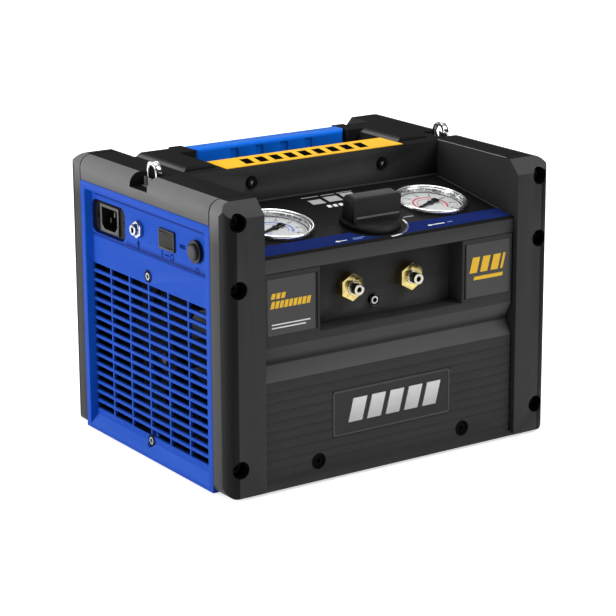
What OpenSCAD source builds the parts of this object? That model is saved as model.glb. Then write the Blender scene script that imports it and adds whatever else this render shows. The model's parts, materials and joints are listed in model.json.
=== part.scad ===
// Portable refrigerant recovery machine, in millimetres, standing on its feet with its front towards -Y

/* [Body] */
// Overall width of the body
body_w = 380; // [360:1:420]
// Overall depth of the body
body_d = 298; // [286:1:320]
// Height of the body without its feet
body_h = 282; // [276:1:296]
// Wall thickness of the moulded covers
wall = 3; // [2.4:0.1:3.6]
// Gap round pieces that are dropped into a seat
gap = 0.3; // [0.2:0.05:0.4]
// Radial clearance of a turning or sliding fit
run = 0.05; // [0.03:0.01:0.08]
// Height of the rubber feet
foot_h = 3; // [2:0.5:6]
// Radius of the rubber feet
foot_r = 15; // [12:0.5:18]

/* [End frames] */
// Width of each end frame, seen from the front
frame_w = 42; // [40:0.5:46]
// Rounding of the long outer edges
frame_round = 12; // [8:0.5:13]
// Rounding of the bottom outer edges
foot_round = 10; // [6:0.5:12]
// Chamfer on the top front and top rear edges
frame_chamfer = 14; // [10:0.5:16]
// Width of the front post, seen from the side
post_front = 28; // [26:0.5:32]
// Width of the rear post, seen from the side
post_rear = 24; // [22:0.5:30]
// Height of the top bar, seen from the side
top_bar = 24; // [21:0.5:27]
// Width and depth of the seams across the top bar
seam = 1.2; // [0.8:0.1:1.6]
// Radius of the screw wells
well_r = 8.5; // [7.5:0.1:9]
// Depth of the screw wells
well_depth = 15; // [10:0.5:16]
// Height above which a web closes the frame beside the console
web_z = 206; // [200:1:210]
// Heights of the screw wells in each post
well_z = [28, 201, 264];

/* [Strap rings] */
// Length of the notch that holds a ring
notch_l = 33; // [31:0.5:36]
// Depth of the notch below the top face
notch_depth = 13.5; // [12.5:0.5:15]
// Distance of the ring from the outer face
ring_in = 18; // [17:0.5:20]
// Place of the rings along the depth
ring_y = 8.5; // [0:0.5:16]
// Height of the ring above the top face
ring_rise = 12; // [9:0.5:16]
// Thickness of the ring's flat bar
ring_bar = 3.4; // [2.8:0.1:3.8]
// Width of the ring's flat bar
ring_strip = 6; // [5:0.2:7]
// Outer width of the ring
ring_w = 20; // [18:0.5:22]
// Radius of the ring's hinge pin
ring_pin_r = 1.6; // [1.3:0.1:1.9]

/* [Side panels] */
// Width of the flat rim
rim = 8; // [6:0.5:10]
// Depth of the recessed face below the rim
recess = 8; // [6:0.5:9]
// Rows of air slots
slot_rows = 16; // [10:1:16]
// Distance between the slot rows
slot_pitch = 9.8; // [9:0.1:10]
// Height of one slot
slot_h = 6.6; // [5:0.1:7.5]
// Columns of air slots
slot_cols = 6; // [3:1:6]
// Distance between the slot columns
col_pitch = 37; // [32:0.5:37.5]
// Width of the upright bars between the columns
col_bar = 2.4; // [2:0.1:4]
// Height of the lowest slot row
slot_z0 = 20; // [18:0.5:26]

/* [Front cover] */
// Distance of the front cover behind the end frames
inset = 5; // [3:0.5:7]
// Height of the seam below the console lip
lip_z = 210; // [206:0.5:214]
// Width of the port window
window_w = 168; // [150:1:176]
// Height of the window sill
window_z = 147; // [143:0.5:152]
// Depth of the port window
window_depth = 22; // [16:0.5:24]
// Bottom, middle and top of the V groove across the front
vee_z = [105.5, 120, 139];
// Depth of the V groove
vee_depth = 9; // [6:0.5:11]
// Distance between the fine ribs on the lower panel
rib_pitch = 9.4; // [8:0.1:11]
// Width of a groove between two ribs
rib_cut = 1.4; // [1:0.1:2]
// Depth of a groove between two ribs
rib_deep = 0.4; // [0.3:0.1:1]
// Size of the badge plate's seat
badge = [140, 46];
// Height of the badge plate's centre
badge_z = 61; // [56:0.5:66]

/* [Console] */
// Height of the console's front edge
console_z = 226; // [223:0.5:229]
// Height of the console's rear edge
console_back_z = 246; // [242:0.5:250]
// Place of the wall behind the console
back_wall_y = -17.4; // [-20:0.2:-14]
// Distance of each gauge from the middle
gauge_x = 92; // [86:0.5:98]
// Place of the gauges up the slope, from the front edge
gauge_v = 64; // [60:0.5:68]
// Radius of the gauge bezels
bezel_r = 37.5; // [34:0.5:39]
// Height of the gauge bezels
bezel_h = 5; // [4.5:0.1:6.5]
// Radius of the gauge cases below the console
case_r = 34; // [31:0.5:34]
// Depth of the gauge cases below the console
case_depth = 26; // [20:0.5:30]
// Width of the bezel's front ring
bezel_ring = 4.5; // [4:0.1:5.5]
// Radius of the needle's pivot
pivot_r = 1.5; // [1.2:0.1:2]

/* [Selector knob] */
// Place of the knob up the slope, from the front edge
knob_v = 38; // [36:0.5:44]
// Radius of the knob's skirt
knob_r = 30; // [26:0.5:31]
// Height of the knob's skirt
skirt_h = 7; // [5:0.5:9]
// Height of the whole knob
knob_h = 31; // [26:0.5:36]
// Length of the knob's bar
knob_bar_l = 58; // [48:0.5:59]
// Thickness of the knob's bar
knob_bar_t = 17; // [14:0.5:20]
// Radius of the knob's stem
stem_r = 5; // [4:0.5:6]

/* [Ports] */
// Distances of the two ports from the middle
port_x = [-38, 32];
// Height of the ports
port_z = 179.5; // [174:0.5:184]
// Width across the flats of the port's hexagon
port_hex = 24; // [19:0.5:25]
// Length of the port's hexagon
port_hex_l = 10; // [6:0.5:11]
// Radius of the port's flare thread
port_thread_r = 5.55; // [5:0.05:6]
// Length of the port's flare thread
port_thread_l = 9; // [8:0.5:12]
// Radius of the port's through hole
port_hole_r = 2.6; // [2:0.1:3]

/* [Top cover] */
// Rise of the two raised blocks above the top face
raised = 4; // [2:0.5:6]
// Length of the raised blocks, seen from the side
raised_l = 91; // [87:0.5:97]
// Half width of the hand pocket
pocket_x = 106; // [100:0.5:112]
// Front edge of the hand pocket
pocket_y = 24; // [20:0.5:30]
// Depth of the hand pocket
pocket_depth = 42; // [36:0.5:46]
// Length of the handle grip
grip_l = 184; // [170:1:194]
// Width of the handle grip, front to back
grip_w = 24; // [20:0.5:26]
// Thickness of the handle grip
grip_t = 20; // [16:0.5:22]
// Drop of the rear deck below the top face
deck_drop = 12; // [10:0.5:14]
// Thickness of the yellow deck plate
plate_t = 0.8; // [0.6:0.1:1.2]

/* [Cooling and drive] */
// Radius of the fan
fan_r = 76; // [64:1:80]
// Number of fan blades
fan_blades = 5; // [3:1:7]
// Height of the fan's shaft
shaft_z = 98; // [92:1:104]
// Radius of the motor shaft
shaft_r = 5; // [4:0.5:6]
// Radius of the motor
motor_r = 40; // [34:1:44]
// Length of the motor
motor_l = 88; // [76:1:92]
// Width and height of the crankcase
crank_w = 80; // [70:1:84]
// Radius of the cylinder barrels
barrel_r = 26; // [22:1:29]
// Length of the cylinder barrels
barrel_l = 46; // [38:1:48]
// Number of cooling fins on each barrel
barrel_fins = 5; // [3:1:6]
// Number of fin plates in the condenser
coil_fins = 15; // [10:1:18]
// Number of tubes in the condenser
coil_tubes = 6; // [4:2:6]

/* [Hidden] */
$fn = 64;

// Colours of the finishes
black = [0.13, 0.13, 0.14];
soft_black = [0.06, 0.06, 0.065];
blue = [0.10, 0.30, 0.85];
yellow = [0.98, 0.72, 0.12];
brass = [0.85, 0.68, 0.32];
steel = [0.75, 0.76, 0.78];
white = [0.93, 0.93, 0.92];
copper = [0.75, 0.42, 0.25];

// Main planes of the body
half_w = body_w / 2;
half_d = body_d / 2;
inner_x = half_w - frame_w;
front_y = -half_d + inset;
rear_y = half_d - inset;
open_front = -half_d + post_front;
open_rear = half_d - post_rear;
open_top = body_h - top_bar;
pan_t = 2;
arc_steps = 6;
big = 1000;
// How far a cut runs past the face that it opens
over = 1;
// How far joined shapes run into each other
sink = 0.5;

// Screws
screw_r = 2.5;
head_r = 5.5;
head_h = 4;
socket_r = 2.6;
socket_depth = 2.2;
well_x = half_w - 14;
frame_shank = min(post_front, post_rear) - well_depth - wall;
foot_x = 120;
foot_y = 100;
foot_taper = 1.5;
cover_screw_x = 86;
cover_screw_z = 18;
cover_well = head_h + 1;
cover_boss = 6;
wall_screw_x = 78;
wall_screw_z = body_h - 16;
wall_well = wall / 2;

// Console plane
slope = atan((console_back_z - console_z) / (back_wall_y - front_y));
slope_l = (back_wall_y - front_y) / cos(slope);
lip_round = 2;

// Front cover: groove floor, end grooves, bottom skirt, plates and their seats
vee_flat = 1.4;
edge_w = 2.4;
edge_deep = 0.75 * wall;
skirt_z = [1.5, 5.5];
badge_seat = 1.2;
badge_rise = 0.4;
badge_edge = 2;
badge_round = 3;
label_edge = 5;
label_low = 3;
label_deep = 0.8;
label_sunk = 0.1;

// Gauges, heights measured from the console's face
bezel_round = 2;
lens_t = 1.6;
lens_sunk = 0.8;
lens_z = bezel_h - lens_sunk - lens_t;
lens_r = bezel_r - bezel_ring + 1;
dial_deep = 3;
dial_t = 0.8;
dial_r = lens_r - 2;
needle_z = -1.4;
gauge_stem_r = 6;
gauge_stem_l = 12;

// Selector valve and the knob's stem in it
valve_r = 12;
valve_l = 28;
stem_l = 13;

// Side panel face and its controls, as distances along the depth and up
panel_face = half_w - recess;
panel_back = panel_face - wall;
slot_mid = (open_front + open_rear) / 2 + 5;
control_z = 226;
inlet_y = 83;
inlet_z = 223;
inlet_size = [37, 28];
inlet_flange = [64, 30];
inlet_pocket = [66, 34];
inlet_pocket_deep = 5;
inlet_round = 8;
inlet_flange_t = 2;
inlet_rise = 4;
inlet_deep = 16;
inlet_wall = 3;
inlet_corner = 5;
fitting_y = 22;
fitting_stem_r = 5;
fitting_stem_l = 8;
fitting_hex_r = 9;
fitting_thread_r = 5.5;
switch_y = -32;
switch_size = [29, 20];
rocker_size = [24, 15];
switch_lip = 1;
switch_rim_t = 2;
switch_deep = 18;
switch_hollow = 12;
rocker_pin_r = 1.5;
rocker_pin_in = 5;
button_y = -86;
button_r = 8;
button_ring_r = 11;
button_ring_t = 4;
button_lip = 1.5;
button_deep = 16;
button_hollow = 12;
button_tail = 8;
button_top = recess - 0.5;
panel_screw_y = 6.5;
panel_screw_z = [14.8, 182];
panel_well_r = 6.5;
panel_well_deep = 3;
panel_boss = 2;
panel_round = 4;
panel_slope_z = [4, 13];
groove_z = 203;
groove_w = 1.4;
groove_deep = 0.9;
groove_end = [8, 1];
ear_screw_y = 26.5;
ear_screw_r = 1.4;
ear_head_r = 2.8;
ear_head_t = 1.2;

// Strap ring hinge
notch_z = body_h - notch_depth;
ring_x = half_w - ring_in;
ring_top = body_h + ring_rise;
hinge_z = notch_z + 5.4;
lug_t = 3;
lug_half = 3.5;
ring_leg = ring_w / 2;
ring_tail = 2.6;
ring_foot = [6, 1];
notch_in = 11;

// Raised blocks, handle and rear slope of the top cover
raised_front = -3;
raised_rear = raised_front + raised_l;
raised_in = pocket_x + 2;
raised_out = inner_x - 2;
raised_side = 4.5;
raised_edge = 2;
rear_step = 6;
rear_step_in = 2;
rear_slope = 14;
rear_slope_in = rear_slope + 0.4 * wall;
rear_lip = 20;
mount_edge = 4;
grip_round = 8;
plate_edge = 1;
grip_y = pocket_y + 54;
grip_top = body_h + raised;
pocket_rear = grip_y + grip_w / 2 + 2;
pocket_z = body_h - pocket_depth;
deck_z = body_h - deck_drop;

// Drive train along X behind the left panel
fan_y = (open_front + open_rear) / 2;
fan_x = -half_w + 36;
fan_t = 22;
hub_r = 18;
fan_room = 3;
shroud_edge = 16;
shroud_x = fan_x + fan_t / 2 + fan_room;
motor_x = shroud_x + fan_t;
shaft_in = 24;
shaft_tail = 4;
motor_rib = [4, 2];
motor_rib_pitch = 14;
cradle_in = 20;
cradle_w = 60;
crank_round = 10;
crank_leg_in = 14;
crank_x = motor_x + motor_l;
fin_rise = 6;
head_t = 12;
head_round = 6;
barrel_fin_t = 2.4;
head_w = 2 * (barrel_r + fin_rise);
barrel_y = fan_y + crank_w / 2 + barrel_l;
barrel_front_y = fan_y - crank_w / 2 - barrel_l;
barrel_x = crank_x + crank_w / 2;
pipe_r = 4;

// Condenser behind the right panel
coil_x = 128;
coil_t = 30;
coil_size = [2 * (barrel_y + head_t / 2 + 3 - fan_y), 184];
coil_z = pan_t;
coil_tube_r = 4.5;
coil_fin_t = 2;

// Control board and its capacitor
board_size = [150, 90];
board_z = 110;
board_off = 10;
board_t = 1.6;
board_post_r = 3;
board_post_in = 6;
cap_r = 16;
cap_l = 20;

// Port window floor
port_floor_y = front_y + window_depth;
port_screw = [-8, 161];
port_panel_rise = 6;
port_neck_r = port_hex / 2 - 2;
port_collar = 2;
port_collar_r = port_thread_r + 1.4;
manifold_size = [128, 30, 28];

// Points of an arc from angle a to angle b
function arc(x, y, r, a, b, n = arc_steps) = [for (i = [0:n])
    [x + r * cos(a + (b - a) * i / n), y + r * sin(a + (b - a) * i / n)]];

// Rectangle with its own rounding at each corner, from the lower left round to the upper left
function round_box(x0, y0, x1, y1, r) = concat(
    r[0] > 0 ? arc(x0 + r[0], y0 + r[0], r[0], 180, 270) : [[x0, y0]],
    r[1] > 0 ? arc(x1 - r[1], y0 + r[1], r[1], 270, 360) : [[x1, y0]],
    r[2] > 0 ? arc(x1 - r[2], y1 - r[2], r[2], 0, 90) : [[x1, y1]],
    r[3] > 0 ? arc(x0 + r[3], y1 - r[3], r[3], 90, 180) : [[x0, y1]]);

// Box given by two corners
module block(a, b) { translate(a) cube(b - a); }

// Outline in Y and Z, extruded along X between two places
module along_x(x0, x1) { translate([x0, 0, 0]) rotate([90, 0, 90]) linear_extrude(x1 - x0) children(); }

// Outline in X and Z, extruded along Y between two places
module along_y(y0, y1) { translate([0, y1, 0]) rotate([90, 0, 0]) linear_extrude(y1 - y0) children(); }

// Cylinder along X from one place to another
module rod_x(x0, x1, r) { translate([x0, 0, 0]) rotate([0, 90, 0]) cylinder(r = r, h = x1 - x0); }

// Cylinder along Y from one place to another
module rod_y(y0, y1, r) { translate([0, y0, 0]) rotate([-90, 0, 0]) cylinder(r = r, h = y1 - y0); }

// Stands the body on its feet
module lifted() { translate([0, 0, foot_h]) children(); }

// Places children on the console, with Z along its normal and Y up the slope
module on_console(x, v) {
    lifted() translate([x, front_y, console_z]) rotate([slope, 0, 0]) translate([0, v, 0]) children();
}

// Cheese-head screw along -Y with its head's face at the origin's front
module screw_y(shank) {
    difference() {
        union() {
            rod_y(-head_h, 0, head_r);
            rod_y(0, shank, screw_r);
        }
        rotate([90, 0, 0]) translate([0, 0, head_h - socket_depth])
            cylinder(r = socket_r, h = big, $fn = 6);
    }
}

// Section of the end frame in X and Z, drawn on the left side and shrunk by a depth
module frame_section(d = 0) {
    polygon(round_box(-half_w + d, d, -inner_x + d, body_h - d, [foot_round - d, 0, 0, frame_round - d]));
}

// End frame on the left: a front post, a rear post and a top bar round the side panel
module frame_shape() {
    difference() {
        intersection() {
            along_y(-half_d, half_d) frame_section();
            translate([0, 0, -over]) linear_extrude(body_h + 2 * over)
                polygon(round_box(-half_w, -half_d, -inner_x, half_d, [frame_round, 0, 0, frame_round]));
            along_x(-half_w - over, -inner_x + over) polygon([[-half_d, 0], [half_d, 0],
                [half_d, body_h - frame_chamfer], [half_d - frame_chamfer, body_h],
                [-half_d + frame_chamfer, body_h], [-half_d, body_h - frame_chamfer]]);
        }
        block([-half_w - over, open_front, -over], [-inner_x + over, open_rear, web_z]);
        block([-half_w - over, open_front, -over], [-inner_x - wall, open_rear, open_top]);
        for (y = [open_front, open_rear - seam]) along_y(y, y + seam) difference() {
            translate([-half_w - over, open_top]) square([frame_w + over, top_bar + over]);
            frame_section(seam);
        }
        block([-half_w - over, ring_y - notch_l / 2, notch_z],
            [-ring_x + notch_in, ring_y + notch_l / 2, big]);
        for (side = [-1, 1]) for (z = well_z) frame_well(side, z);
    }
}

// Screw well in the front face, side -1, or in the rear face, side 1
module frame_well(side, z) {
    translate([-well_x, side * half_d, z]) rotate([0, 0, side > 0 ? 180 : 0]) {
        rod_y(-big, well_depth, well_r);
        rod_y(0, well_depth + frame_shank + over, screw_r + gap);
    }
}

module left_frame() { color(black) lifted() frame_shape(); }

module right_frame() { color(black) lifted() mirror([1, 0, 0]) frame_shape(); }

// Screws of the end frames, each at the bottom of its well
module frame_screws() {
    color(soft_black) lifted() for (x = [-well_x, well_x]) for (side = [-1, 1]) for (z = well_z)
        translate([x, side * (half_d - well_depth), z]) rotate([0, 0, side > 0 ? 180 : 0])
            screw_y(frame_shank);
}

// Sheet-metal pan that carries the drive and closes the bottom
module base_pan() {
    hem = 8;
    pan_y = -front_y - wall - gap;
    color(steel) lifted() difference() {
        union() {
            block([-inner_x, -pan_y, 0], [inner_x, pan_y, pan_t]);
            block([-panel_back + gap, open_front + gap, 0], [panel_back - gap, open_rear - gap, pan_t]);
            for (side = [-1, 1]) scale([1, side, 1])
                block([-inner_x, pan_y - pan_t, 0], [inner_x, pan_y, hem]);
        }
        for (x = [-foot_x, foot_x]) for (y = [-foot_y, foot_y])
            translate([x, y, -over]) cylinder(r = screw_r + gap, h = pan_t + 2 * over);
    }
}

// Rubber feet, each with a plug that goes up into the pan
module feet() {
    color(soft_black) for (x = [-foot_x, foot_x]) for (y = [-foot_y, foot_y]) translate([x, y, 0]) {
        cylinder(r1 = foot_r - foot_taper, r2 = foot_r, h = foot_h);
        translate([0, 0, foot_h]) cylinder(r = screw_r, h = pan_t);
    }
}

// Outline of the front cover from the bottom to the seam under the console
function front_path(y) = [[y, 0], [y, vee_z[0]], [y + vee_depth, vee_z[1] - vee_flat / 2],
    [y + vee_depth, vee_z[1] + vee_flat / 2], [y, vee_z[2]], [y, lip_z - gap]];

function reversed(list) = [for (i = [len(list) - 1:-1:0]) list[i]];

// Layer of the front cover between two depths behind its face
module front_layer(x0, x1, d0, d1) {
    along_x(x0, x1) polygon(concat(front_path(front_y + d0), reversed(front_path(front_y + d1))));
}

// Front cover with its V groove, fine ribs, port window, bottom skirt and a groove along each end
module front_cover() {
    half = window_w / 2;
    color(black) lifted() difference() {
        union() {
            front_layer(-inner_x, inner_x, 0, wall);
            along_x(-inner_x, inner_x) polygon([[-half_d + sink, 0], [front_y + sink, 0],
                [front_y + sink, skirt_z[1]], [-half_d + sink, skirt_z[0]]]);
            block([-half - wall, front_y + sink, window_z - wall],
                [half + wall, port_floor_y, lip_z - gap]);
            for (x = [-cover_screw_x, cover_screw_x]) translate([x, 0, cover_screw_z])
                rod_y(front_y + wall - over, front_y + wall + cover_boss, head_r + wall);
        }
        for (side = [-1, 1]) scale([side, 1, 1])
            front_layer(inner_x - edge_w, inner_x + over, -over, edge_deep);
        block([-half, front_y - over, window_z], [half, port_floor_y + over, big]);
        for (z = [rib_pitch:rib_pitch:vee_z[0] - rib_pitch / 2])
            block([-inner_x - over, front_y - over, z], [inner_x + over, front_y + rib_deep, z + rib_cut]);
        block([-badge[0] / 2, front_y - over, badge_z - badge[1] / 2],
            [badge[0] / 2, front_y + badge_seat, badge_z + badge[1] / 2]);
        for (side = [-1, 1]) label_seat(side, 0);
        for (x = [-cover_screw_x, cover_screw_x]) translate([x, front_y, cover_screw_z]) {
            rod_y(-over, cover_well, head_r + 1);
            rod_y(0, big / 4, screw_r + gap);
        }
    }
}

// Seat of a label beside the window, left for side -1 and right for side 1
module label_seat(side, room) {
    x = [side * (window_w / 2 + label_edge), side * (inner_x - label_edge)];
    block([min(x) + room, front_y - over, window_z + label_low + room],
        [max(x) - room, front_y + label_deep, lip_z - label_edge - room]);
}

module label_plate(side) {
    intersection() {
        label_seat(side, gap);
        block([-half_w, front_y + label_sunk, 0], [half_w, 0, body_h]);
    }
}

module left_label() { color(black) lifted() label_plate(-1); }

module right_label() { color(black) lifted() label_plate(1); }

// Bare badge plate on the lower front
module badge_plate() {
    w = badge[0] / 2 - gap;
    h = badge[1] / 2 - gap;
    color(steel) lifted() difference() {
        along_y(front_y - badge_rise, front_y + badge_seat) badge_outline(w, h, badge_round);
        along_y(front_y - over, front_y) badge_outline(w - badge_edge, h - badge_edge, badge_round - 1);
    }
}

// Rounded outline of the badge plate from its half sizes
module badge_outline(w, h, r) { polygon(round_box(-w, badge_z - h, w, badge_z + h, [r, r, r, r])); }

// Screws in the front cover and in the wall behind the console
module cover_screws() {
    color(soft_black) lifted() {
        for (x = [-cover_screw_x, cover_screw_x])
            translate([x, front_y + cover_well, cover_screw_z]) screw_y(wall + cover_boss - cover_well);
        for (x = [-wall_screw_x, wall_screw_x])
            translate([x, back_wall_y + wall_well, wall_screw_z]) screw_y(wall - wall_well);
        translate([port_screw[0], port_floor_y, port_screw[1]]) screw_y(wall);
    }
}

// Plate at the back of the port window
module port_panel() {
    half = window_w / 2 + wall;
    color(black) lifted() difference() {
        block([-half, port_floor_y, window_z - wall], [half, port_floor_y + wall, lip_z + port_panel_rise]);
        for (x = port_x) translate([x, port_floor_y, port_z]) rod_y(-over, wall + over, port_neck_r + gap);
        translate([port_screw[0], port_floor_y, port_screw[1]]) rod_y(-over, wall + over, screw_r + gap);
    }
}

// Brass flare port: hexagon, collar, flare thread and a through hole
module port(x) {
    hex_y = port_floor_y - port_hex_l;
    collar_y = hex_y - port_collar;
    color(brass) lifted() translate([x, 0, port_z]) difference() {
        union() {
            rod_y(port_floor_y - sink, port_floor_y + wall, port_neck_r);
            translate([0, port_floor_y, 0]) rotate([90, 30, 0])
                cylinder(r = port_hex / 2 / cos(30), h = port_hex_l, $fn = 6);
            rod_y(collar_y, hex_y + sink, port_collar_r);
            rod_y(collar_y - port_thread_l, collar_y + sink, port_thread_r);
        }
        rod_y(collar_y - port_thread_l - over, port_floor_y + wall + over, port_hole_r);
    }
}

module left_port() { port(port_x[0]); }

module right_port() { port(port_x[1]); }

// Valve block behind the ports
module manifold() {
    y = port_floor_y + wall;
    mid = (port_x[0] + port_x[1]) / 2;
    color(steel) lifted()
        block([mid - manifold_size[0] / 2, y, port_z - manifold_size[2] / 2],
            [mid + manifold_size[0] / 2, y + manifold_size[1], port_z + manifold_size[2] / 2]);
}

// Sloping console with its front lip, gauge holes and stem hole
module console() {
    top = [[front_y, console_z - lip_round], [front_y + lip_round, console_z + lip_round * tan(slope)],
        [back_wall_y, console_back_z]];
    low = [[back_wall_y, console_back_z - wall / cos(slope)],
        [front_y + wall, console_z + (wall * sin(slope) - wall) / cos(slope)], [front_y + wall, lip_z]];
    color(soft_black) difference() {
        lifted() along_x(-inner_x, inner_x) polygon(concat([[front_y, lip_z]], top, low));
        for (x = [-gauge_x, gauge_x]) on_console(x, gauge_v)
            translate([0, 0, -4 * wall]) cylinder(r = case_r + gap, h = 8 * wall);
        on_console(0, knob_v) translate([0, 0, -4 * wall]) cylinder(r = stem_r + gap, h = 8 * wall);
    }
}

// Case of a pressure gauge with its bezel and a central pivot pin
module gauge_case(x) {
    color(white) on_console(x, gauge_v) {
        difference() {
            union() {
                translate([0, 0, -case_depth]) cylinder(r = case_r, h = case_depth);
                rotate_extrude() polygon(concat([[0, 0], [bezel_r, 0]],
                    arc(bezel_r - bezel_round, bezel_h - bezel_round, bezel_round, 0, 90),
                    [[lens_r, bezel_h - lens_sunk], [0, bezel_h - lens_sunk]]));
            }
            translate([0, 0, -dial_deep]) cylinder(r = dial_r, h = big);
            translate([0, 0, lens_z]) cylinder(r = lens_r, h = big);
        }
        translate([0, 0, -dial_deep - sink]) cylinder(r = pivot_r, h = dial_deep + sink);
        translate([0, 0, -case_depth - gauge_stem_l]) cylinder(r = gauge_stem_r, h = gauge_stem_l + sink);
    }
}

module gauge_dial(x) {
    color(white) on_console(x, gauge_v) translate([0, 0, -dial_deep]) difference() {
        cylinder(r = dial_r - gap, h = dial_t);
        translate([0, 0, -over]) cylinder(r = pivot_r + gap, h = dial_t + 2 * over);
    }
}

// Needle at its zero mark, turned from straight up the slope
module gauge_needle(x) {
    zero_angle = 112;
    long = dial_r - 8;
    tail = 8;
    wide = 1.2;
    tip = 0.3;
    hub = [3.4, 1.2];
    blade_t = 0.8;
    outline = [[-wide, -tail], [wide, -tail], [wide, 2], [tip, long], [-tip, long], [-wide, 2]];
    color(soft_black) on_console(x, gauge_v) translate([0, 0, needle_z]) rotate([0, 0, zero_angle])
        difference() {
            union() {
                cylinder(r = hub[0], h = hub[1]);
                linear_extrude(blade_t) polygon(outline);
            }
            translate([0, 0, -over]) cylinder(r = pivot_r + run, h = hub[1] + 2 * over);
        }
}

module gauge_lens(x) {
    color([0.9, 0.95, 1, 0.3]) on_console(x, gauge_v) translate([0, 0, lens_z])
        cylinder(r = lens_r - gap, h = lens_t);
}

module left_gauge_case() { gauge_case(-gauge_x); }

module left_gauge_dial() { gauge_dial(-gauge_x); }

module left_gauge_needle() { gauge_needle(-gauge_x); }

module left_gauge_lens() { gauge_lens(-gauge_x); }

module right_gauge_case() { gauge_case(gauge_x); }

module right_gauge_dial() { gauge_dial(gauge_x); }

module right_gauge_needle() { gauge_needle(gauge_x); }

module right_gauge_lens() { gauge_lens(gauge_x); }

// Selector valve that hangs under the console and takes the knob's stem
module selector_valve() {
    color(brass) on_console(0, knob_v) difference() {
        translate([0, 0, -wall - valve_l]) cylinder(r = valve_r, h = valve_l);
        translate([0, 0, -wall - stem_l - over]) cylinder(r = stem_r + run, h = stem_l + 2 * over);
    }
}

// Selector knob: round skirt, upright bar and stem
module knob() {
    t = knob_bar_t / 2;
    l = knob_bar_l / 2;
    r = 3;
    corner = 6;
    flare = 2;
    low = skirt_h - sink;
    color(soft_black) on_console(0, knob_v) {
        rotate_extrude() polygon([[0, gap], [knob_r, gap], [knob_r, skirt_h - r], [knob_r - r, skirt_h],
            [0, skirt_h]]);
        intersection() {
            along_x(-l, l) polygon(concat([[-t - flare, low], [t + flare, low]],
                arc(t - r, knob_h - r, r, 0, 90), arc(-t + r, knob_h - r, r, 90, 180)));
            along_y(-t - flare - over, t + flare + over) polygon(concat([[-l + 1, low], [l - 1, low]],
                arc(l - corner, knob_h - corner, corner, 0, 90),
                arc(-l + corner, knob_h - corner, corner, 90, 180)));
            translate([0, 0, low - over]) cylinder(r = l, h = knob_h);
        }
        translate([0, 0, -wall - stem_l]) cylinder(r = stem_r, h = wall + stem_l + skirt_h);
    }
}

// Rear block: wall behind the console, deck, raised blocks, hand pocket and rear slope
module top_cover() {
    outer = [[back_wall_y, console_back_z], [back_wall_y, body_h], [raised_rear, body_h],
        [raised_rear + rear_step, deck_z], [rear_y - rear_slope, deck_z], [rear_y, deck_z - rear_slope],
        [rear_y, deck_z - rear_lip]];
    inner = [[rear_y - wall, deck_z - rear_lip], [rear_y - wall, deck_z - rear_slope_in],
        [rear_y - rear_slope_in, deck_z - wall], [raised_rear + rear_step - rear_step_in, deck_z - wall],
        [raised_rear - rear_step_in, body_h - wall], [back_wall_y + wall, body_h - wall],
        [back_wall_y + wall, console_back_z]];
    side_x = pocket_x + wall;
    color(black) lifted() difference() {
        union() {
            along_x(-inner_x, inner_x) polygon(concat(outer, inner));
            block([-side_x, pocket_y - wall, pocket_z - wall], [side_x, pocket_rear + wall, deck_z]);
            block([-side_x, pocket_y - wall, deck_z - over], [side_x, raised_rear - wall, body_h - over]);
        }
        block([-pocket_x, pocket_y, pocket_z], [pocket_x, pocket_rear, big]);
        for (x = [-wall_screw_x, wall_screw_x]) translate([x, back_wall_y, wall_screw_z]) {
            rod_y(-over, wall_well, head_r + 1);
            rod_y(0, wall + over, screw_r + gap);
        }
    }
    color(black) lifted() for (side = [-1, 1]) scale([side, 1, 1]) {
        raised_block();
        grip_mount();
    }
}

// Raised block beside the hand pocket, with sloping sides and eased ends
module raised_block() {
    low = body_h - wall;
    top = body_h + raised;
    section = [[raised_in, low], [raised_out, low], [raised_out, body_h], [raised_out - raised_side, top],
        [raised_in + raised_side, top], [raised_in, body_h]];
    length = [[raised_front, low], [raised_front, top - raised_edge], [raised_front + raised_edge, top],
        [raised_rear - raised_edge, top], [raised_rear, top - raised_edge], [raised_rear, low]];
    intersection() {
        along_y(raised_front, raised_rear) polygon(section);
        along_x(raised_in - over, raised_out + over) polygon(length);
    }
}

// Mount at one end of the grip, standing in the hand pocket and joined to the raised block
module grip_mount() {
    front = grip_y - grip_w / 2 - mount_edge;
    block([grip_l / 2, front, grip_top - grip_t - mount_edge],
        [pocket_x + sink, pocket_rear + sink, grip_top]);
    block([pocket_x, front, body_h - wall], [raised_in + raised_side, raised_rear - raised_edge, grip_top]);
}

// Handle grip with rounded ends and finger flutes in its front face
module grip() {
    flutes = 4;
    flute = [9, 5];
    flute_pitch = 30;
    flute_drop = 4;
    l = grip_l / 2;
    y0 = grip_y - grip_w / 2;
    y1 = grip_y + grip_w / 2;
    color(blue) lifted() difference() {
        intersection() {
            along_x(-l, l) polygon(round_box(y0, grip_top - grip_t, y1, grip_top, [6, 6, 5, 4]));
            linear_extrude(big) polygon(round_box(-l, y0, l, y1, [grip_round, grip_round, 0, 0]));
        }
        for (i = [0:flutes - 1])
            translate([(i - (flutes - 1) / 2) * flute_pitch, y0 - over, grip_top - grip_t / 2 - flute_drop])
                cube([flute[0], flute[1], grip_t], center = true);
    }
}

// Yellow plate on the deck in front of the hand pocket
module deck_plate() {
    x = pocket_x - plate_edge;
    color(yellow) lifted()
        block([-x, back_wall_y + plate_edge, body_h], [x, pocket_y - plate_edge, body_h + plate_t]);
}

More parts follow.
